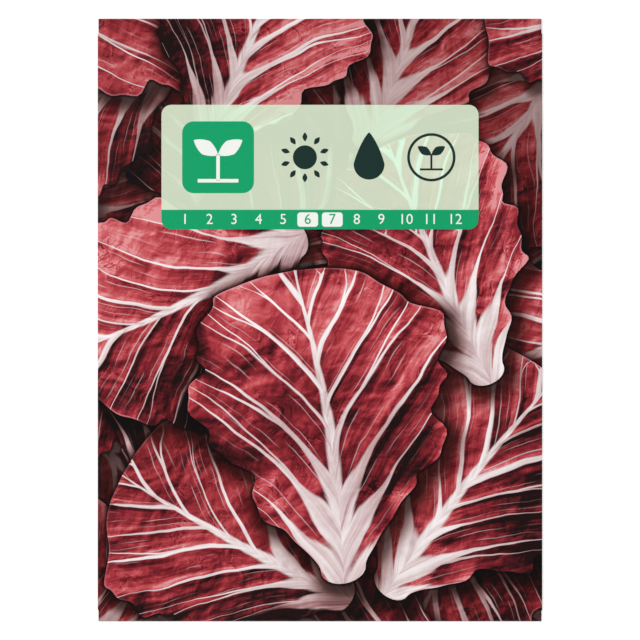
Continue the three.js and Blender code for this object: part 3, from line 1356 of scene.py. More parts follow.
    def roll(self, start: Array, axis: int, reach: float, bottom: Array | float) -> list[Row]:
        """Roll the sheet half way round a fold.

        Args:
            start: The border's points, in millimetres.
            axis: 0 for a side fold, 1 for an end fold.
            reach: How far the roll curls out.
            bottom: The height at which it ends.

        Returns:
            The roll's rows of new points.
        """
        middle, radius = (start[:, 2] + bottom) / 2.0, (start[:, 2] - bottom) / 2.0
        outward = np.sign(start[:, axis])
        rows = []
        for angle in np.linspace(0.0, math.pi, self.roll_steps + 1)[1:]:
            places, flat = start.copy(), start[:, :2].copy()
            places[:, axis] += outward * reach * math.sin(angle)
            places[:, 2] = middle + radius * math.cos(angle)
            flat[:, axis] += outward * reach * angle
            rows.append(Row(places, flat, Ink.LEAVES))
        return rows

    def side_panel(self, blank: Blank, side: float) -> None:
        """Roll the sheet round a side fold and across its share of the back, up to the seam.

        Args:
            blank: The blank so far.
            side: 1 for the right, -1 for the left.
        """
        form = self.form
        span = (form.bottom_mouth - form.half_length, form.half_length - form.top_mouth)
        run, levels = self.border_run(blank, 0, side, span)
        start = np.array([blank.points[i][0] for i in run])
        y = start[:, 1]
        rows = self.roll(start, 0, form.side_roll, form.back_outside(start[:, 0], y))
        edge = form.seam_x if side > 0 else form.seam_x + form.seam_overlap
        for stop in self.back_stops(side, edge):
            x = np.full(len(y), stop)
            tucked = side < 0 and stop > form.seam_x - self.tolerance
            z = form.back_tucked(x, y) if tucked else form.back_outside(x, y)
            rows.append(Row(np.stack([x, y, z], axis=1), np.stack([x, y], axis=1), Ink.BACK))
        blank.run_on(run, levels, rows, side < 0)

    def back_stops(self, side: float, edge: float) -> Array:
        """Space the columns of one back panel, closely where it curves.

        Args:
            side: 1 for the right, -1 for the left.
            edge: Where the panel ends, in millimetres.

        Returns:
            The columns' places, from the fold to the edge.
        """
        form = self.form
        lifts = form.seam_x - form.seam_relax
        to_seam = ((lifts, self.far_columns), (form.seam_x, self.lifted_columns), (edge, self.seam_columns))
        spans = ((edge, self.near_columns),) if side > 0 else to_seam
        stops = side * (form.panel_x - np.array(self.side_columns))
        for end, count in spans:
            stops = np.append(stops, np.linspace(stops[-1], end, count + 1)[1:])
        return stops

    def end_flap(self, blank: Blank, end: float, depth: float, taper: float) -> None:
        """Roll the sheet round an end fold and on into the flap that lies over the back.

        Args:
            blank: The blank so far.
            end: 1 for the top, -1 for the bottom.
            depth: How far the flap reaches, in millimetres.
            taper: How much narrower its free edge is on each side.
        """
        form = self.form
        run, levels = self.border_run(blank, 1, end, (-form.panel_x, form.panel_x))
        start = np.array([blank.points[i][0] for i in run])
        x = start[:, 0]
        rows = self.roll(start, 1, form.end_roll, 0.0)
        reach, corner = depth - form.end_roll, self.flap_corner
        straight = np.linspace(0.0, reach - corner, self.flap_rows + 1)[1:]
        rounded = reach - corner * (1.0 - np.sin(np.radians(self.corner_angles)))
        for run_in in np.concatenate([straight, rounded]):
            past = max(0.0, run_in - reach + corner) / corner
            cut = corner * (1.0 - math.sqrt(max(0.0, 1.0 - past * past)))
            wide = x * (form.panel_x - taper * run_in / reach - cut) / form.panel_x
            y = np.full(len(x), end * (form.panel_y - run_in))
            places = np.stack([wide, y, np.zeros(len(x))], axis=1)
            rows.append(Row(places, places[:, :2], Ink.FLAP))
        blank.run_on(run, levels, rows, end > 0)

    def mesh_of(self, blank: Blank) -> Object:
        """Turn the gathered skin into an object with its maps and materials.

        Args:
            blank: The finished blank.

        Returns:
            The object, still without the sheet's thickness.
        """
        places, flat = (np.array(part) for part in zip(*blank.points))
        faces, levels, inks = zip(*blank.faces)
        corner_levels = np.repeat(levels, [len(face) for face in faces])
        maps = self.pile.describe(corner_levels, flat[np.concatenate(faces)])
        materials = (
            self.ink.front(self.paper),
            self.ink.veiled(self.paper, self.label.panel_tint, self.label.panel_cover),
            self.stripe.material(self.paper),
            self.plain.back(self.paper),
            self.plain.flap(self.paper),
            self.paper.bare(),
        )
        piece = new_piece("paper_blank", places, faces, maps, materials)
        piece.data.polygons.foreach_set("material_index", [ink.value for ink in inks])
        return piece


def new_piece(
    name: str,
    points: Array,
    faces: Sequence[tuple[int, ...]],
    maps: dict[str, Array],
    materials: Sequence[Material],
) -> Object:
    """Put a smooth-shaded mesh in the scene.

    Args:
        name: The piece's name.
        points: Its points in millimetres, one to a row.
        faces: Each face's point numbers.
        maps: The pairs of numbers that each of its maps holds, corner by corner.
        materials: Its materials.

    Returns:
        The piece.
    """
    mesh = bpy.data.meshes.new(name)
    mesh.from_pydata((points * MM).tolist(), [], faces)
    for key, pairs in maps.items():
        mesh.uv_layers.new(name=key).uv.foreach_set("vector", pairs.ravel())
    for material in materials:
        mesh.materials.append(material)
    mesh.polygons.foreach_set("use_smooth", [True] * len(faces))
    piece = bpy.data.objects.new(name, mesh)
    bpy.context.scene.collection.objects.link(piece)
    return piece


def deselect() -> None:
    """Leave nothing selected."""
    for each in bpy.context.selected_objects:
        each.select_set(False)


@contextlib.contextmanager
def editing() -> Iterator[None]:
    """Keep the active object in edit mode, with all of it selected, while mesh tools are used."""
    bpy.ops.object.mode_set(mode="EDIT")
    bpy.ops.mesh.select_all(action="SELECT")
    yield
    bpy.ops.object.mode_set(mode="OBJECT")


def thicken(piece: Object, thickness: float, shift: int = 0) -> None:
    """Give a skin a wall, inwards.

    Args:
        piece: The skin.
        thickness: The wall's thickness in millimetres.
        shift: How many material slots further the wall's inside and edges take their finish.
    """
    deselect()
    bpy.context.view_layer.objects.active = piece
    piece.select_set(True)
    wall = piece.modifiers.new("wall", "SOLIDIFY")
    wall.thickness = thickness * MM
    wall.offset = -1.0
    wall.material_offset = shift
    wall.material_offset_rim = shift
    bpy.ops.object.modifier_apply(modifier=wall.name)


@dataclass
class PrintedMarks:
    """Small printed marks of one ink: drawn flat in millimetres, then laid on the paper as a thin film.

    A mark's place has x to the right and y upwards as the marks are read, also on the back.
    """

    name: str
    ink: MarkInk
    surface: Callable[[Array, Array], Array]
    outward: float = 1.0
    lift: float = 0.012
    film: float = 0.012
    stretch: float = 3.0
    drawn: list[Object] = field(default_factory=list)

    def keep(self, at: Pair, turn: float = 0.0) -> None:
        """Turn the active shape about its own middle, move it to its place and keep it.

        Args:
            at: The shape's place.
            turn: The turn in degrees.
        """
        shape = bpy.context.active_object
        across = Matrix.Diagonal((self.outward, 1.0, 1.0, 1.0))
        turned = Matrix.Rotation(math.radians(turn), 4, "Z")
        shape.data.transform(across @ Matrix.Translation((*at, 0.0)) @ turned)
        self.drawn.append(shape)

    def circle(self, radius: float, sides: int) -> bpy.types.MeshVertices:
        """Add a filled circle, alone selected, and give its points.

        Args:
            radius: Its radius.
            sides: How many points it has.

        Returns:
            The points, to be moved.
        """
        deselect()
        bpy.ops.mesh.primitive_circle_add(vertices=sides, radius=radius, fill_type="NGON")
        return bpy.context.active_object.data.vertices

    def disc(self, at: Pair, radius: float) -> None:
        """Draw a filled disc."""
        self.circle(radius, 40)
        self.keep(at)

    def ring(self, at: Pair, radius: float, width: float) -> None:
        """Draw a ring by insetting a disc and taking out its middle.

        Args:
            at: Its middle.
            radius: Its outer radius.
            width: How wide its line is.
        """
        self.circle(radius, 56)
        with editing():
            bpy.ops.mesh.inset(thickness=width)
            bpy.ops.mesh.delete(type="FACE")
        self.keep(at)

    def bar(self, at: Pair, size: Pair, corner: float = 0.0) -> None:
        """Draw a bar.

        Args:
            at: Its middle.
            size: Its width and height.
            corner: How far its corners are rounded.
        """
        deselect()
        bpy.ops.mesh.primitive_plane_add(size=1.0)
        bpy.context.active_object.data.transform(Matrix.Diagonal((*size, 1.0, 1.0)))
        if corner:
            with editing():
                bpy.ops.mesh.bevel(offset=corner, segments=6, affect="VERTICES")
        self.keep(at)

    def petal(self, at: Pair, length: float, width: float, turn: float) -> None:
        """Draw a leaf shape, pointed at both ends.

        Args:
            at: Where it starts.
            length: How long it is.
            width: How wide it is.
            turn: Its turn in degrees, where 0 points up.
        """
        for vertex in self.circle(1.0, 36):
            x, y, _ = vertex.co
            slim = (1.0 - abs(y)) ** 0.35 if abs(y) < 1.0 else 0.0
            vertex.co = (0.5 * width * x * slim, 0.5 * length * (y + 1.0), 0.0)
        self.keep(at, turn)

    def drop(self, at: Pair, radius: float) -> None:
        """Draw a water drop: a disc whose top is drawn up to a point.

        Args:
            at: The disc's middle.
            radius: Its radius.
        """
        for vertex in self.circle(radius, 48):
            up = max(0.0, vertex.co.y / radius)
            vertex.co.x *= (1.0 - up) ** 0.28 if up < 1.0 else 0.0
            vertex.co.y += 1.05 * radius * up**1.6
        self.keep(at)

    def sun(self, at: Pair, radius: float, rays: int = 10) -> None:
        """Draw a sun: a disc inside a wreath of short tapered rays.

        Args:
            at: Its middle.
            radius: How far its rays reach.
            rays: How many there are.
        """
        self.disc(at, 0.48 * radius)
        for number in range(rays):
            turn = 360.0 * number / rays
            out = 0.64 * radius * Vector((-math.sin(math.radians(turn)), math.cos(math.radians(turn))))
            self.petal((at[0] + out.x, at[1] + out.y), 0.36 * radius, 0.2 * radius, turn)

    def seedling(self, at: Pair, height: float) -> None:
        """Draw a seedling: a stem, two seed leaves and a line of soil.

        Args:
            at: The foot of its stem.
            height: Its height without the leaves' tips.
        """
        self.bar((at[0], at[1] + 0.26 * height), (0.07 * height, 0.52 * height))
        for turn in (-58.0, 58.0):
            self.petal((at[0], at[1] + 0.5 * height), 0.56 * height, 0.3 * height, turn)
        self.bar(at, (0.8 * height, 0.07 * height))

    def number(self, value: int, at: Pair, size: float) -> None:
        """Draw a plain number.

        Args:
            value: The number.
            at: Its middle.
            size: Its type size.
        """
        deselect()
        bpy.ops.object.text_add()
        text = bpy.context.active_object
        text.data.body = str(value)
        text.data.size = size
        text.data.align_x = "CENTER"
        text.data.align_y = "CENTER"
        text.data.resolution_u = 3
        bpy.ops.object.convert(target="MESH")
        self.keep(at)

    def build(self, paper: PaperFinish) -> Object:
        """Join the marks, lay them on the paper and give them their film's thickness.

        Args:
            paper: The coat that the sheet has.

        Returns:
            The finished piece.
        """
        deselect()
        for shape in self.drawn:
            shape.select_set(True)
        piece = self.drawn[0]
        bpy.context.view_layer.objects.active = piece
        if len(self.drawn) > 1:
            bpy.ops.object.join()
        with editing():
            bpy.ops.mesh.quads_convert_to_tris()
        piece.name = self.name
        piece.data.name = self.name
        self.lay(piece.data)
        thicken(piece, self.film)
        piece.data.materials.clear()
        piece.data.materials.append(self.ink.material(paper))
        return piece

    def lay(self, mesh: Mesh) -> None:
        """Cut the flat marks into short stretches, lay them on the surface and turn them outwards.

        Args:
            mesh: The marks' mesh, which goes from millimetres to metres.
        """
        marks = bmesh.new()
        marks.from_mesh(mesh)
        places = np.array([vertex.co[:] for vertex in marks.verts])
        low, high = places.min(0), places.max(0)
        for axis in (0, 1):
            across = Vector((1.0 - axis, axis, 0.0))
            for cut in np.arange(low[axis] + 0.5 * self.stretch, high[axis], self.stretch):
                every = [*marks.verts, *marks.edges, *marks.faces]
                bmesh.ops.bisect_plane(marks, geom=every, plane_co=across * cut, plane_no=across)
        places = np.array([vertex.co[:] for vertex in marks.verts])
        heights = self.surface(places[:, 0], places[:, 1]) + self.outward * (self.lift + self.film)
        for vertex, height in zip(marks.verts, heights):
            vertex.co = (vertex.co.x * MM, vertex.co.y * MM, height * MM)
        marks.normal_update()
        wrong = [face for face in marks.faces if face.normal.z * self.outward < 0.0]
        bmesh.ops.reverse_faces(marks, faces=wrong)
        marks.to_mesh(mesh)
        marks.free()


@dataclass(frozen=True)
class LabelMarks:
    """What stands on the label: a tile with a seedling, three signs, and a row of month numbers."""

    form: PacketForm
    label: LabelPanel
    white: Colour = (0.86, 0.88, 0.84)
    tile: float = 19.0
    tile_corner: float = 3.0
    tile_inset: float = 15.0
    seedling: float = 13.5
    sun_x: float = -4.0
    sun: float = 6.6
    drop_x: float = 13.0
    drop: float = 4.1
    ring_x: float = 29.5
    ring: float = 6.4
    months: int = 12
    months_inset: float = 3.0
    number: float = 3.9
    first_sowing: int = 6
    last_sowing: int = 7
    over_tile: float = 0.03
    over_patch: float = 0.05

    @property
    def middle(self) -> float:
        """The height of the signs' middle line."""
        return (self.label.bottom + self.label.stripe + self.label.top) / 2.0

    @property
    def month_pitch(self) -> float:
        """How far apart the months stand."""
        return (self.label.right - self.label.left - 2.0 * self.months_inset) / self.months

    def marks(self, name: str, ink: str, colour: Colour, **lift: float) -> PrintedMarks:
        """Start the marks of one ink, further off the paper if asked."""
        return PrintedMarks(f"label_{name}", MarkInk(ink, colour), self.form.front_top, **lift)

    def month_place(self, month: int) -> Pair:
        """Where a month's number stands on the stripe."""
        x = self.label.left + self.months_inset + (month - 0.5) * self.month_pitch
        return x, self.label.bottom + self.label.stripe / 2.0

    def draw(self) -> tuple[PrintedMarks, ...]:
        """Draw the tile, the signs, the seedling and the months, two of them on a white patch.

        Returns:
            The marks, ink by ink.
        """
        tile = self.marks("tile", "tile_ink", EMERALD)
        dark = self.marks("signs", "sign_ink", SIGN_DARK)
        white = self.marks("highlights", "white_ink", self.white, lift=self.over_tile)
        chosen = self.marks("chosen_months", "stripe_number_ink", EMERALD, lift=self.over_patch)
        tile_x = self.label.left + self.tile_inset
        tile.bar((tile_x, self.middle), (self.tile, self.tile), self.tile_corner)
        dark.sun((self.sun_x, self.middle), self.sun)
        dark.drop((self.drop_x, self.middle - 0.44 * self.drop), self.drop)
        dark.ring((self.ring_x, self.middle), self.ring, 0.11 * self.ring)
        dark.seedling((self.ring_x, self.middle - 0.5 * self.ring), 1.19 * self.ring)
        white.seedling((tile_x, self.middle - 0.46 * self.seedling), self.seedling)
        for month in range(1, self.months + 1):
            place = self.month_place(month)
            sown = self.first_sowing <= month <= self.last_sowing
            if sown:
                white.bar(place, (self.month_pitch - 1.0, self.label.stripe - 1.4), 0.8)
            (chosen if sown else white).number(month, place, self.number)
        return tile, dark, white, chosen


@dataclass
class BackMarks:
    """What stands on the back: a sowing calendar, how far apart and how deep to sow, and three signs."""

    form: PacketForm
    wine_red: Colour = (0.30, 0.022, 0.045)
    centre: float = 19.0
    pitch: float = 5.4
    months: int = 12
    number_y: float = 25.0
    number: float = 4.4
    small_number: float = 4.0
    calendar_drop: float = 3.6
    row_step: float = 8.0
    span: float = 3.6
    span_corner: float = 1.4
    hairline: float = 0.3
    tick: float = 2.4
    plants: int = 5
    plant_step: float = 14.0
    plant_y: float = -30.0
    plant: float = 9.5
    distance: int = 30
    soil_y: float = -48.0
    sown_depth: float = 6.0
    grains: int = 9
    grain_step: float = 6.6
    grain: Pair = (3.2, 1.7)
    sign: float = 7.0
    sign_step: float = 22.0

    def __post_init__(self) -> None:
        """Start the marks of each ink."""
        self.dark = self.marks("signs", "sign", SIGN_DARK)
        self.green = self.marks("green_marks", "green", EMERALD)
        self.wine = self.marks("wine_marks", "wine", self.wine_red)

    @property
    def rule(self) -> float:
        """The length of the row of plants."""
        return self.plant_step * (self.plants - 1)

    def marks(self, name: str, ink: str, colour: Colour) -> PrintedMarks:
        """Start the marks of one ink, which face backwards."""
        surface = self.form.back_outside
        return PrintedMarks(f"back_{name}", MarkInk(f"back_{ink}_ink", colour), surface, -1.0)

    def month_x(self, month: float) -> float:
        """Where a month's middle lies."""
        return self.centre + (month - 0.5 - self.months / 2.0) * self.pitch

    def calendar(self) -> None:
        """Draw the months' numbers, and a row with its bar for sowing under glass, sowing and harvest."""
        for month in range(1, self.months + 1):
            self.dark.number(month, (self.month_x(month), self.number_y), self.number)
        spans = ((4, 6, self.green), (6, 7, self.green), (8, 11, self.wine))
        top = self.number_y - self.calendar_drop
        for row in range(len(spans) + 1):
            line = (self.months * self.pitch, self.hairline)
            self.dark.bar((self.centre, top - row * self.row_step), line)
        for row, (first, last, marks) in enumerate(spans):
            place = (self.month_x((first + last) / 2.0), top - (row + 0.5) * self.row_step)
            marks.bar(place, ((last - first + 1) * self.pitch - 0.8, self.span), self.span_corner)

    def spacing(self) -> None:
        """Draw a row of plants over a ruled distance."""
        line_y = self.plant_y - 4.0
        self.dark.bar((self.centre, line_y), (self.rule, self.hairline))
        for plant in range(self.plants):
            x = self.centre - self.rule / 2.0 + plant * self.plant_step
            self.green.seedling((x, self.plant_y), self.plant)
            self.dark.bar((x, line_y), (self.hairline, self.tick))
            if plant:
                place = (x - self.plant_step / 2.0, line_y - 3.2)
                self.dark.number(self.distance, place, self.small_number)

    def depth(self) -> None:
        """Draw grains under a line of soil, with their depth beside them."""
        grain_y = self.soil_y - self.sown_depth
        self.dark.bar((self.centre, self.soil_y), (self.rule, 0.5))
        for grain in range(self.grains):
            x = self.centre + (grain - (self.grains - 1) / 2.0) * self.grain_step
            lean = 17.0 * ((grain * 5) % 7 - 3) - 70.0
            self.wine.petal((x - 0.6, grain_y), *self.grain, lean)
        ruler_x, ruler_y = self.centre - self.rule / 2.0, self.soil_y - self.sown_depth / 2.0
        self.dark.bar((ruler_x, ruler_y), (self.hairline, self.sown_depth))
        self.dark.bar((ruler_x, grain_y), (self.tick, self.hairline))
        self.dark.number(1, (ruler_x - 3.0, ruler_y), self.small_number)

    def signs(self) -> None:
        """Draw a sun, a drop and a ringed seedling in a column on the seam's other side."""
        x = -(self.form.seam_x + self.form.half_width) / 2.0
        top = self.number_y - 4.0
        ring_y = top - 2.0 * self.sign_step
        self.dark.sun((x, top), self.sign)
        self.dark.drop((x, top - self.sign_step), 0.66 * self.sign)
        self.dark.ring((x, ring_y), self.sign, 0.11 * self.sign)
        self.dark.seedling((x, ring_y - 0.49 * self.sign), 1.2 * self.sign)

    def draw(self) -> tuple[PrintedMarks, ...]:
        """Draw every mark.

        Returns:
            The marks, ink by ink.
        """
        self.calendar()
        self.spacing()
        self.depth()
        self.signs()
        return self.dark, self.green, self.wine


@dataclass(frozen=True)
class FoilFinish:
    """Matt silver laminate, creased by handling."""

    colour: Colour = (0.74, 0.75, 0.77)
    shade: float = 0.88
    metallic: float = 0.85
    roughness: float = 0.34
    roughness_spread: float = 0.16
    crease_scale: float = 90.0
    crease_depth: float = 0.00012
    sway: float = 0.02

    def material(self) -> Material:
        """Make the foil.

        Returns:
            The finished material.
        """
        graph = Graph("sachet_foil")
        place, x, y, _ = graph.place()
        drift = graph.noise(place, 160.0, 4.0, 0.6, 0.8)
        sway = graph.noise(place, 60.0, 3.0) * self.sway
        creases = graph.cell_edges(graph.vector(x + sway, y + sway), self.crease_scale)
        height = graph.fade(creases, 0.1, 0.0) * 0.2 + drift * 0.8
        rough = (drift - 0.5) * self.roughness_spread + self.roughness
        colour = graph.mix(drift, self.colour, darker(self.colour, self.shade))
        return graph.finish(colour, rough, height, self.crease_depth, Metallic=self.metallic)


@dataclass(frozen=True)
class Sachet:
    """The flat inner sachet: two foil webs that meet in a ridged seal all round, with toothed ends."""

    form: PacketForm
    half_width: float
    bottom: float
    top: float
    back_z: float
    front_z: float
    seal: float = 7.0
    ease: float = 10.0
    teeth: int = 24
    tooth: float = 1.0
    tooth_root: float = 2.0
    ridge: float = 0.035
    fine: float = 0.25
    coarse: float = 0.75
    foil: float = 0.12
    empty_rise: float = 0.3
    seed_rise: float = 1.25

    def stations(self, low: float, high: float, coarse: float) -> Array:
        """Space a web's stations closely in both seals and widely between them.

        Args:
            low: Where the web starts.
            high: Where it ends.
            coarse: The wide spacing.

        Returns:
            The stations.
        """
        left = np.arange(low, low + self.seal, self.fine)
        steps = round((high - low - 2.0 * self.seal) / coarse)
        middle = np.linspace(low + self.seal, high - self.seal, steps + 1)
        right = np.arange(high - self.seal + self.fine, high + self.fine / 2.0, self.fine)
        return np.concatenate([left, middle, right])

    def ridges(self, x: Array, y: Array) -> Array:
        """The seal's ridges, a millimetre apart, which run along its nearest edge.

        Args:
            x: Places across the web.
            y: Places along it.

        Returns:
            The heights.
        """
        from_side = self.half_width - np.abs(x)
        from_end = np.minimum(self.top - y, y - self.bottom)
        inward = np.minimum(from_side, from_end)
        sealed = smooth(self.seal - inward) * smooth(inward / 0.6)
        return self.ridge * np.sin(2.0 * math.pi * inward) * sealed

    def rise(self, x: Array, y: Array) -> Array:
        """How far the front web stands off its place in the seal.

        Args:
            x: Places across the web.
            y: Places along it.

        Returns:
            The heights.
        """
        side = smooth((self.half_width - self.seal - np.abs(x)) / self.ease)
        top = smooth((self.top - self.seal - y) / self.ease)
        bottom = smooth((y - self.bottom - self.seal) / self.ease)
        slack = 0.04 * np.sin(0.31 * x + 0.12 * y) + 0.03 * np.sin(0.17 * x - 0.27 * y + 1.0)
        full = self.empty_rise + slack + self.seed_rise * self.form.over_seeds(x, y)
        return full * side * top * bottom

    def web(self, name: str, base: float, rising: bool, finish: FoilFinish) -> Object:
        """Shape one web from a grid.

        Args:
            name: The piece's name.
            base: The height of its lower face in the seal.
            rising: Whether it rises over the seeds.
            finish: Its foil.

        Returns:
            The finished piece.
        """
        xs = self.stations(-self.half_width, self.half_width, self.coarse)
        ys = self.stations(self.bottom, self.top, 3.0 * self.coarse)
        deselect()
        bpy.ops.mesh.primitive_grid_add(x_subdivisions=len(xs) - 1, y_subdivisions=len(ys) - 1, size=1.0)
        piece = bpy.context.active_object
        piece.name = name
        x, y = (part.ravel() for part in np.meshgrid(xs, ys))
        turn = (x / self.half_width + 1.0) * self.teeth / 2.0
        saw = 2.0 * np.abs((turn + 0.5) % 1.0 - 0.5)
        near_bottom = np.clip(1.0 - (y - self.bottom) / self.tooth_root, 0.0, 1.0)
        near_top = np.clip(1.0 - (self.top - y) / self.tooth_root, 0.0, 1.0)
        cut_y = y + self.tooth * saw * (near_bottom - near_top)
        z = base + self.foil + self.ridges(x, y) + (self.rise(x, y) if rising else 0.0)
        piece.data.vertices.foreach_set("co", (np.stack([x, cut_y, z], axis=1) * MM).ravel())
        thicken(piece, self.foil)
        bpy.ops.object.shade_smooth_by_angle(angle=math.radians(40.0))
        piece.data.materials.append(finish.material())
        return piece

    def build(self) -> list[Object]:
        """Make both webs.

        Returns:
            The back web and the front web.
        """
        finish = FoilFinish()
        return [
            self.web("foil_back_web", self.back_z, False, finish),
            self.web("foil_front_web", self.front_z, True, finish),
        ]


@dataclass(frozen=True)
class SeedDrift:
    """The seeds: small ribbed grains, blunt at the crown, lying every way in a shallow drift."""

    centre_x: float
    centre_y: float
    half_length: float
    half_width: float
    floor: float
    ceiling: float
    length: float = 2.7
    width: float = 1.15
    depth: float = 0.85
    ribs: int = 5
    rib: float = 0.09
    foot: float = 0.62
    crown: float = 0.86
    spacing: float = 1.75
    jitter: float = 0.3
    layers: int = 2
    layer_shrink: float = 0.22
    packing: float = 0.92
    clear: float = 0.1
    lean: float = 0.12
    scales: Pair = (0.88, 1.06)
    seed: int = 41
    husk: Stops = (
        (0.1, (0.10, 0.06, 0.03)),
        (0.45, (0.30, 0.19, 0.10)),
        (0.75, (0.48, 0.35, 0.20)),
        (1.0, (0.66, 0.54, 0.36)),
    )

    def grain(self) -> Object:
        """Model one grain from a sphere: tapered to its foot, cut off at its crown and ribbed.

        Returns:
            The grain, in millimetres.
        """
        deselect()
        bpy.ops.mesh.primitive_uv_sphere_add(segments=2 * self.ribs, ring_count=7, radius=0.5)
        piece = bpy.context.active_object
        for vertex in piece.data.vertices:
            x, y, z = vertex.co
            along = 2.0 * z
            taper = self.foot + (1.0 - self.foot) * float(smooth((along + 1.0) / 1.5))
            slim = taper * (1.0 + self.rib * math.cos(self.ribs * math.atan2(y, x)))
            cut = min(along, self.crown) / (0.5 + 0.5 * self.crown)
            vertex.co = (x * slim * self.width, cut * 0.5 * self.length, y * slim * self.depth)
        with editing():
            bpy.ops.mesh.remove_doubles(threshold=0.0005)
            bpy.ops.mesh.normals_make_consistent(inside=False)
        return piece

    def places(self) -> list[Matrix]:
        """Choose each grain's place and turn, layer by layer.

        Returns:
            The places, in millimetres.
        """
        draw = np.random.default_rng(self.seed)
        row_step = self.spacing * math.sqrt(3.0) / 2.0
        rows = math.ceil(self.half_width / row_step) + 1
        columns = math.ceil(self.half_length / self.spacing) + 1
        rise = self.packing * (self.ceiling - self.floor - self.depth) / max(1, self.layers - 1)
        spots = itertools.product(range(self.layers), range(-rows, rows + 1), range(-columns, columns + 1))
        chosen = []
        for layer, row, column in spots:
            shift_x, shift_y = draw.uniform(-self.jitter, self.jitter, 2)
            turn, roll = draw.uniform(0.0, 2.0 * math.pi, 2)
            x = (column + 0.5 * (row % 2) + 0.5 * layer) * self.spacing + shift_x
            y = (row + 0.4 * layer) * row_step + shift_y
            share = 1.0 - self.layer_shrink * layer
            spread = ((x / self.half_length) ** 2 + (y / self.half_width) ** 2) / share**2
            if spread > 1.0:
                continue
            z = self.floor + 0.5 * self.depth + self.clear + layer * rise * (1.0 - 0.5 * spread)
            turned = Euler((0.0, self.lean * math.sin(roll), turn)).to_matrix().to_4x4()
            chosen.append(Matrix.Translation((self.centre_x + x, self.centre_y + y, z)) @ turned)
        return chosen

    def material(self) -> Material:
        """Make the husk: straw to brown from grain to grain, streaked along its ribs.

        Returns:
            The finished material.
        """
        graph = Graph("seed_husk")
        lot, along = graph.map_pair("grain")
        streaks = graph.noise(graph.vector(lot, along * 0.15, lot * 31.0), 46.0, 4.0, 0.7)
        specks = graph.noise(graph.place()[0], 5200.0, 3.0, 0.6)
        colour = graph.ramp(lot * 0.55 + streaks * 0.35 + specks * 0.2, self.husk)
        return graph.finish(colour, 0.62, specks, 0.00006, Specular_IOR_Level=0.35)

    def build(self) -> Object:
        """Copy the grain to every place, in one mesh.

        Returns:
            The finished piece.
        """
        model = self.grain()
        corners = np.array([tuple(v.co) for v in model.data.vertices])
        faces = [tuple(p.vertices) for p in model.data.polygons]
        draw = np.random.default_rng(self.seed + 1)
        points, every, pairs = [], [], []
        for place in self.places():
            start = sum(len(p) for p in points)
            scale = draw.uniform(*self.scales)
            lot = draw.uniform()
            points.append(corners * scale @ np.array(place.to_3x3()).T + np.array(place.translation))
            every.extend(tuple(start + c for c in face) for face in faces)
            pairs.extend((lot, corners[c][1] / self.length + 0.5) for face in faces for c in face)
        bpy.data.objects.remove(model)
        maps = {"grain": np.array(pairs, np.float32)}
        return new_piece("seed_drift", np.concatenate(points), every, maps, [self.material()])


@dataclass(frozen=True)
class Lamp:
    """One soft square lamp that faces the packet, in metres and watts."""

    name: str
    place: tuple[float, float, float]
    size: float
    power: float

    def hang(self) -> None:
        """Hang the lamp at its place."""
        bpy.ops.object.light_add(type="AREA", location=self.place)
        lamp = bpy.context.active_object
        lamp.name = self.name
        lamp.data.shape = "SQUARE"
        lamp.data.size = self.size
        lamp.data.energy = self.power
        lamp.rotation_euler = (-Vector(self.place)).to_track_quat("-Z", "Y").to_euler()


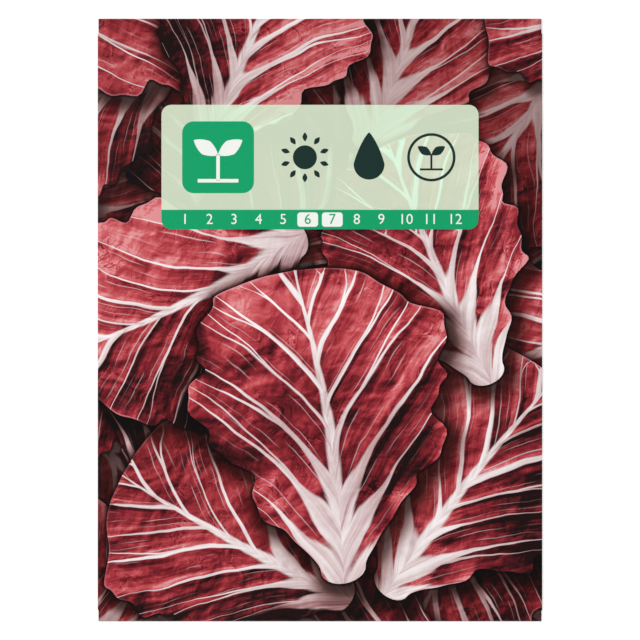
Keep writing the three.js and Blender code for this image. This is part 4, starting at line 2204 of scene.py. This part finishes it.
@dataclass(frozen=True)
class Studio:
    """A white floor, soft lamps and a camera that looks straight down, as the photo looks straight on."""

    picture_width: float = 0.1701
    lens: float = 120.0
    sensor: float = 36.0
    floor_size: float = 4.0
    floor_z: float = -0.00005
    floor_glow: float = 0.2
    sky_strength: float = 0.35
    lamps: tuple[Lamp, ...] = (
        Lamp("key_lamp", (-0.55, 0.35, 0.75), 0.5, 5.0),
        Lamp("fill_lamp", (0.6, 0.1, 0.7), 0.6, 2.6),
        Lamp("foot_lamp", (-0.1, -0.65, 0.6), 0.5, 2.3),
    )

    def build(self) -> None:
        """Set up the floor, the lamps, the world and the camera."""
        self.floor()
        for lamp in self.lamps:
            lamp.hang()
        self.world()
        self.camera()

    def floor(self) -> None:
        """Lay a white floor just under the packet."""
        bpy.ops.mesh.primitive_plane_add(size=self.floor_size, location=(0.0, 0.0, self.floor_z))
        floor = bpy.context.active_object
        floor.name = "studio_floor"
        graph = Graph("floor_white")
        speck = graph.noise(graph.place()[0], 40.0)
        white = graph.mix(speck, (0.93, 0.93, 0.93), (0.91, 0.91, 0.91))
        glow = {"Emission_Color": (1.0, 1.0, 1.0), "Emission_Strength": self.floor_glow}
        floor.data.materials.append(graph.finish(white, 0.9, speck, 0.0001, **glow))

    def world(self) -> None:
        """Light the scene evenly and faintly from all round."""
        world = bpy.data.worlds.new("studio")
        world.use_nodes = True
        background = world.node_tree.nodes["Background"]
        background.inputs[0].default_value = (1.0, 1.0, 1.0, 1.0)
        background.inputs[1].default_value = self.sky_strength
        bpy.context.scene.world = world
        bpy.context.scene.view_settings.view_transform = "Standard"

    def camera(self) -> None:
        """Look straight down from far enough that the packet fills the photo's share of the frame."""
        height = self.picture_width * self.lens / self.sensor
        bpy.ops.object.camera_add(location=(0.0, 0.0, height), rotation=(0.0, 0.0, 0.0))
        camera = bpy.context.active_object
        camera.name = "photo_camera"
        camera.data.lens = self.lens
        camera.data.sensor_width = self.sensor
        camera.data.clip_start = 0.01
        bpy.context.scene.camera = camera


def hand_over(piece: Object, slot: str, *nodes: str) -> None:
    """Let a finished piece ride on the packet and stand for its solids.

    Args:
        piece: The finished piece.
        slot: The name of a material slot, which is not used.
        nodes: The solids that it stands for.
    """
    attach(piece, BODY)
    if nodes:
        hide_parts(*nodes)
    log.info("%s: %d faces", piece.name, len(piece.data.polygons))


def main() -> None:
    """Build the packet and its studio."""
    logging.basicConfig(level=logging.INFO, format="%(name)s: %(message)s")
    low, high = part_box("paper_packet")
    seeds_low, seeds_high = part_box("seeds")
    form = PacketForm(
        half_width=(high.x - low.x) / 2.0 / MM,
        half_length=(high.y - low.y) / 2.0 / MM,
        heap_x=(seeds_low.x + seeds_high.x) / 2.0 / MM,
        heap_y=(seeds_low.y + seeds_high.y) / 2.0 / MM,
    )
    Studio().build()
    packet = PaperPacket(form, LeafPrint(form), LabelPanel(), PaperFinish(), LeafInk(), PlainInks())
    hand_over(packet.build(), "printed_paper", "paper_packet")
    for marks in (*LabelMarks(form, packet.label).draw(), *BackMarks(form).draw()):
        hand_over(marks.build(packet.paper), "printed_paper")
    sachet_low, sachet_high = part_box("sachet_back_web")
    front_low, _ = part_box("sachet_front_web")
    sachet = Sachet(
        form,
        half_width=(sachet_high.x - sachet_low.x) / 2.0 / MM,
        bottom=sachet_low.y / MM,
        top=sachet_high.y / MM,
        back_z=sachet_low.z / MM,
        front_z=front_low.z / MM,
    )
    for web, node in zip(sachet.build(), ("sachet_back_web", "sachet_front_web")):
        hand_over(web, "foil", node)
    drift = SeedDrift(
        centre_x=form.heap_x,
        centre_y=form.heap_y,
        half_length=(seeds_high.x - seeds_low.x) / 2.0 / MM - 0.9,
        half_width=(seeds_high.y - seeds_low.y) / 2.0 / MM - 0.9,
        floor=seeds_low.z / MM,
        ceiling=seeds_high.z / MM + 0.3,
    )
    hand_over(drift.build(), "seed", "seeds")
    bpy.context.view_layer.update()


if __name__ == "__main__":
    main()
